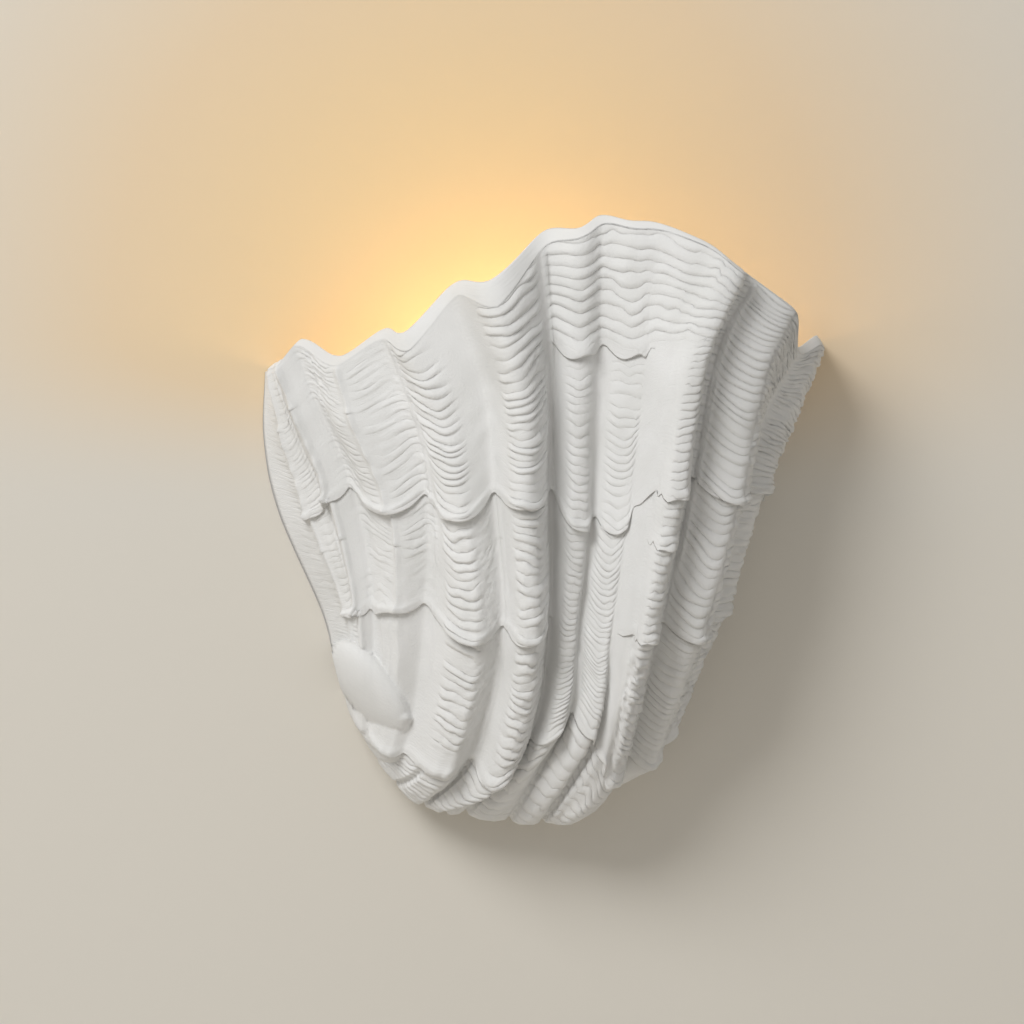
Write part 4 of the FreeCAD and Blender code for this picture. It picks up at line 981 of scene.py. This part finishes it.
# %% [markdown]
# The small parts were turned, plated, moulded or fired, which decides their gloss more than their colour
# does. One function serves them all: two close colours in patches of a real size in millimetres, a
# roughness that follows the patches, as handling does, and a fine unevenness on top, drawn at about
# 1 mm where the real one is finer and wouldn't show.

# %% Plain finishes
def plain(name, dark, light, patch, rough, bump=0.05, grain=1.0, **sockets):
    """A moulded, plated or painted surface: two close colours in patches, and a fine uneven surface."""
    made, tree, shader = blank(name, **sockets)
    place = add(tree, "TexCoord").outputs["Object"]
    cloud = add(tree, "TexNoise", {"Scale": 1 / (patch * MM), "Detail": 4.0}, {"Vector": place})
    worn = cloud.outputs["Fac"]
    tree.links.new(ramp(tree, worn, (0.3, dark), (0.7, light)), shader.inputs["Base Color"])
    tree.links.new(between(tree, worn, *rough), shader.inputs["Roughness"])
    fine = add(tree, "TexNoise", {"Scale": 1 / (grain * MM), "Detail": 2.0}, {"Vector": place})
    uneven = add(tree, "Bump", {"Strength": bump, "Distance": 0.2 * MM}, {"Height": fine.outputs["Fac"]})
    tree.links.new(uneven.outputs["Normal"], shader.inputs["Normal"])
    return made


finishes = {
    # Turned brass: warm, its soft mirror broken up by turning marks.
    "brass": plain("machined_brass", "#B98F4A", "#D3AC66", 6, (0.22, 0.38), Metallic=1.0),
    # Zinc on rolled steel: grey, with a cloudy half gloss.
    "zinc_steel": plain("zinc_plated_steel", "#A9ACB0", "#C6C8CA", 5, (0.3, 0.5), Metallic=1.0),
    # Baked powder: off-white and half matt, with a fine orange peel.
    "painted_steel": plain("white_powder_coat", "#E3E2DE", "#ECEBE8", 25, (0.42, 0.55), 0.3, 1.1),
    # Moulded rubber: nearly black and dull.
    "grommet_rubber": plain("black_rubber", "#1B1B1C", "#29292A", 3, (0.65, 0.85), 0.2, 0.6),
    # Pressed thermoset: creamy white, with the mould's polish.
    "holder_plastic": plain("white_thermoset", "#DFDDD5", "#E9E7E0", 9, (0.28, 0.42)),
    # Fired without a glaze: warm white and faintly sandy.
    "porcelain": plain("unglazed_porcelain", "#E4E0D5", "#EFECE3", 4, (0.45, 0.65), 0.15, 0.5),
    # Dipped tin: pale and uneven, bright and dull by turns.
    "solder": plain("tinned_metal", "#A8A9AA", "#C9CACB", 2, (0.25, 0.5), 0.3, 0.8, Metallic=1.0),
    # Black glass, poured hot between the contacts: deep and glossy.
    "bulb_black": plain("black_glass_insulator", "#101011", "#1C1C1E", 3, (0.12, 0.25), Coat_Weight=0.4),
    # Nickel on rolled sheet: warm grey and close to a mirror.
    "nickel": plain("nickel_plate", "#BDB9AE", "#D6D2C8", 4, (0.18, 0.32), Metallic=1.0),
    # Moulded polycarbonate: clean white, with an even half gloss.
    "bulb_plastic": plain("white_polycarbonate", "#EBEAE6", "#F1F0ED", 12, (0.28, 0.4)),
    # Solder mask on a metal board: bright white and smooth.
    "board": plain("white_solder_mask", "#E9E9E4", "#F2F2EE", 4, (0.3, 0.45)),
    # Moulded polyamide: waxy and a little yellow.
    "block_plastic": plain("natural_polyamide", "#DEDACB", "#E9E6DA", 5, (0.4, 0.55)),
    # PVC drawn over the wire through a die: smooth, with a soft gloss, in three colours.
    "lead_green": plain("green_lead", "#1F6B35", "#2A7C41", 4, (0.35, 0.5)),
    "lead_white": plain("white_lead", "#DEDEDA", "#EAEAE7", 4, (0.35, 0.5)),
    "lead_black": plain("black_lead", "#18181A", "#242426", 4, (0.35, 0.5)),
}
print(len(finishes), "plain finishes")

# %% [markdown]
# The bulb is lit, and it makes the wash on the wall by itself. A point lamp in its place would light the
# wall too, but would leave the globe dark, so the globe's own surface gives the light.

# %% Opal bulb
BULB_GLOW = 10.5            # strong enough for the wash in the photograph, with the room's light on


def lit_opal():
    """The globe is frosted inside, so it glows evenly with the warm white of a 2700 K lamp."""
    made, tree, shader = blank("lit_opal", Roughness=0.35, Emission_Strength=BULB_GLOW)
    place = add(tree, "TexCoord").outputs["Object"]
    cloud = add(tree, "TexNoise", {"Scale": 1 / (20 * MM), "Detail": 2.0}, {"Vector": place})
    glow = ramp(tree, cloud.outputs["Fac"], (0.3, "#FFD294"), (0.7, "#FFD9A2"))
    tree.links.new(glow, shader.inputs["Emission Color"])
    unlit = ramp(tree, cloud.outputs["Fac"], (0.3, "#F4EEE2"), (0.7, "#FAF5EA"))
    tree.links.new(unlit, shader.inputs["Base Color"])
    return made


finishes["opal"] = lit_opal()
finishes["plaster"] = shell.data.materials[0]
for piece in bosses:
    piece.data.materials.append(finishes["plaster"])
cap.data.materials.append(finishes["nickel"])
inner_shell.data.materials.append(finishes["brass"])
for finish, piece in leads.items():
    piece.data.materials.append(finishes[finish])
slots = {part["node"]: part["material_slot"] for part in frame["record"]["subparts"]}
for name, piece in cad.items():
    piece.data.materials.clear()
    piece.data.materials.append(finishes[slots[name]])
print("finishes on", len(cad), "nodes")

# %% [markdown]
# ## Last update
# The visual model must stay inside the imported model's box.

# %% Update the scene
bpy.context.view_layer.update()
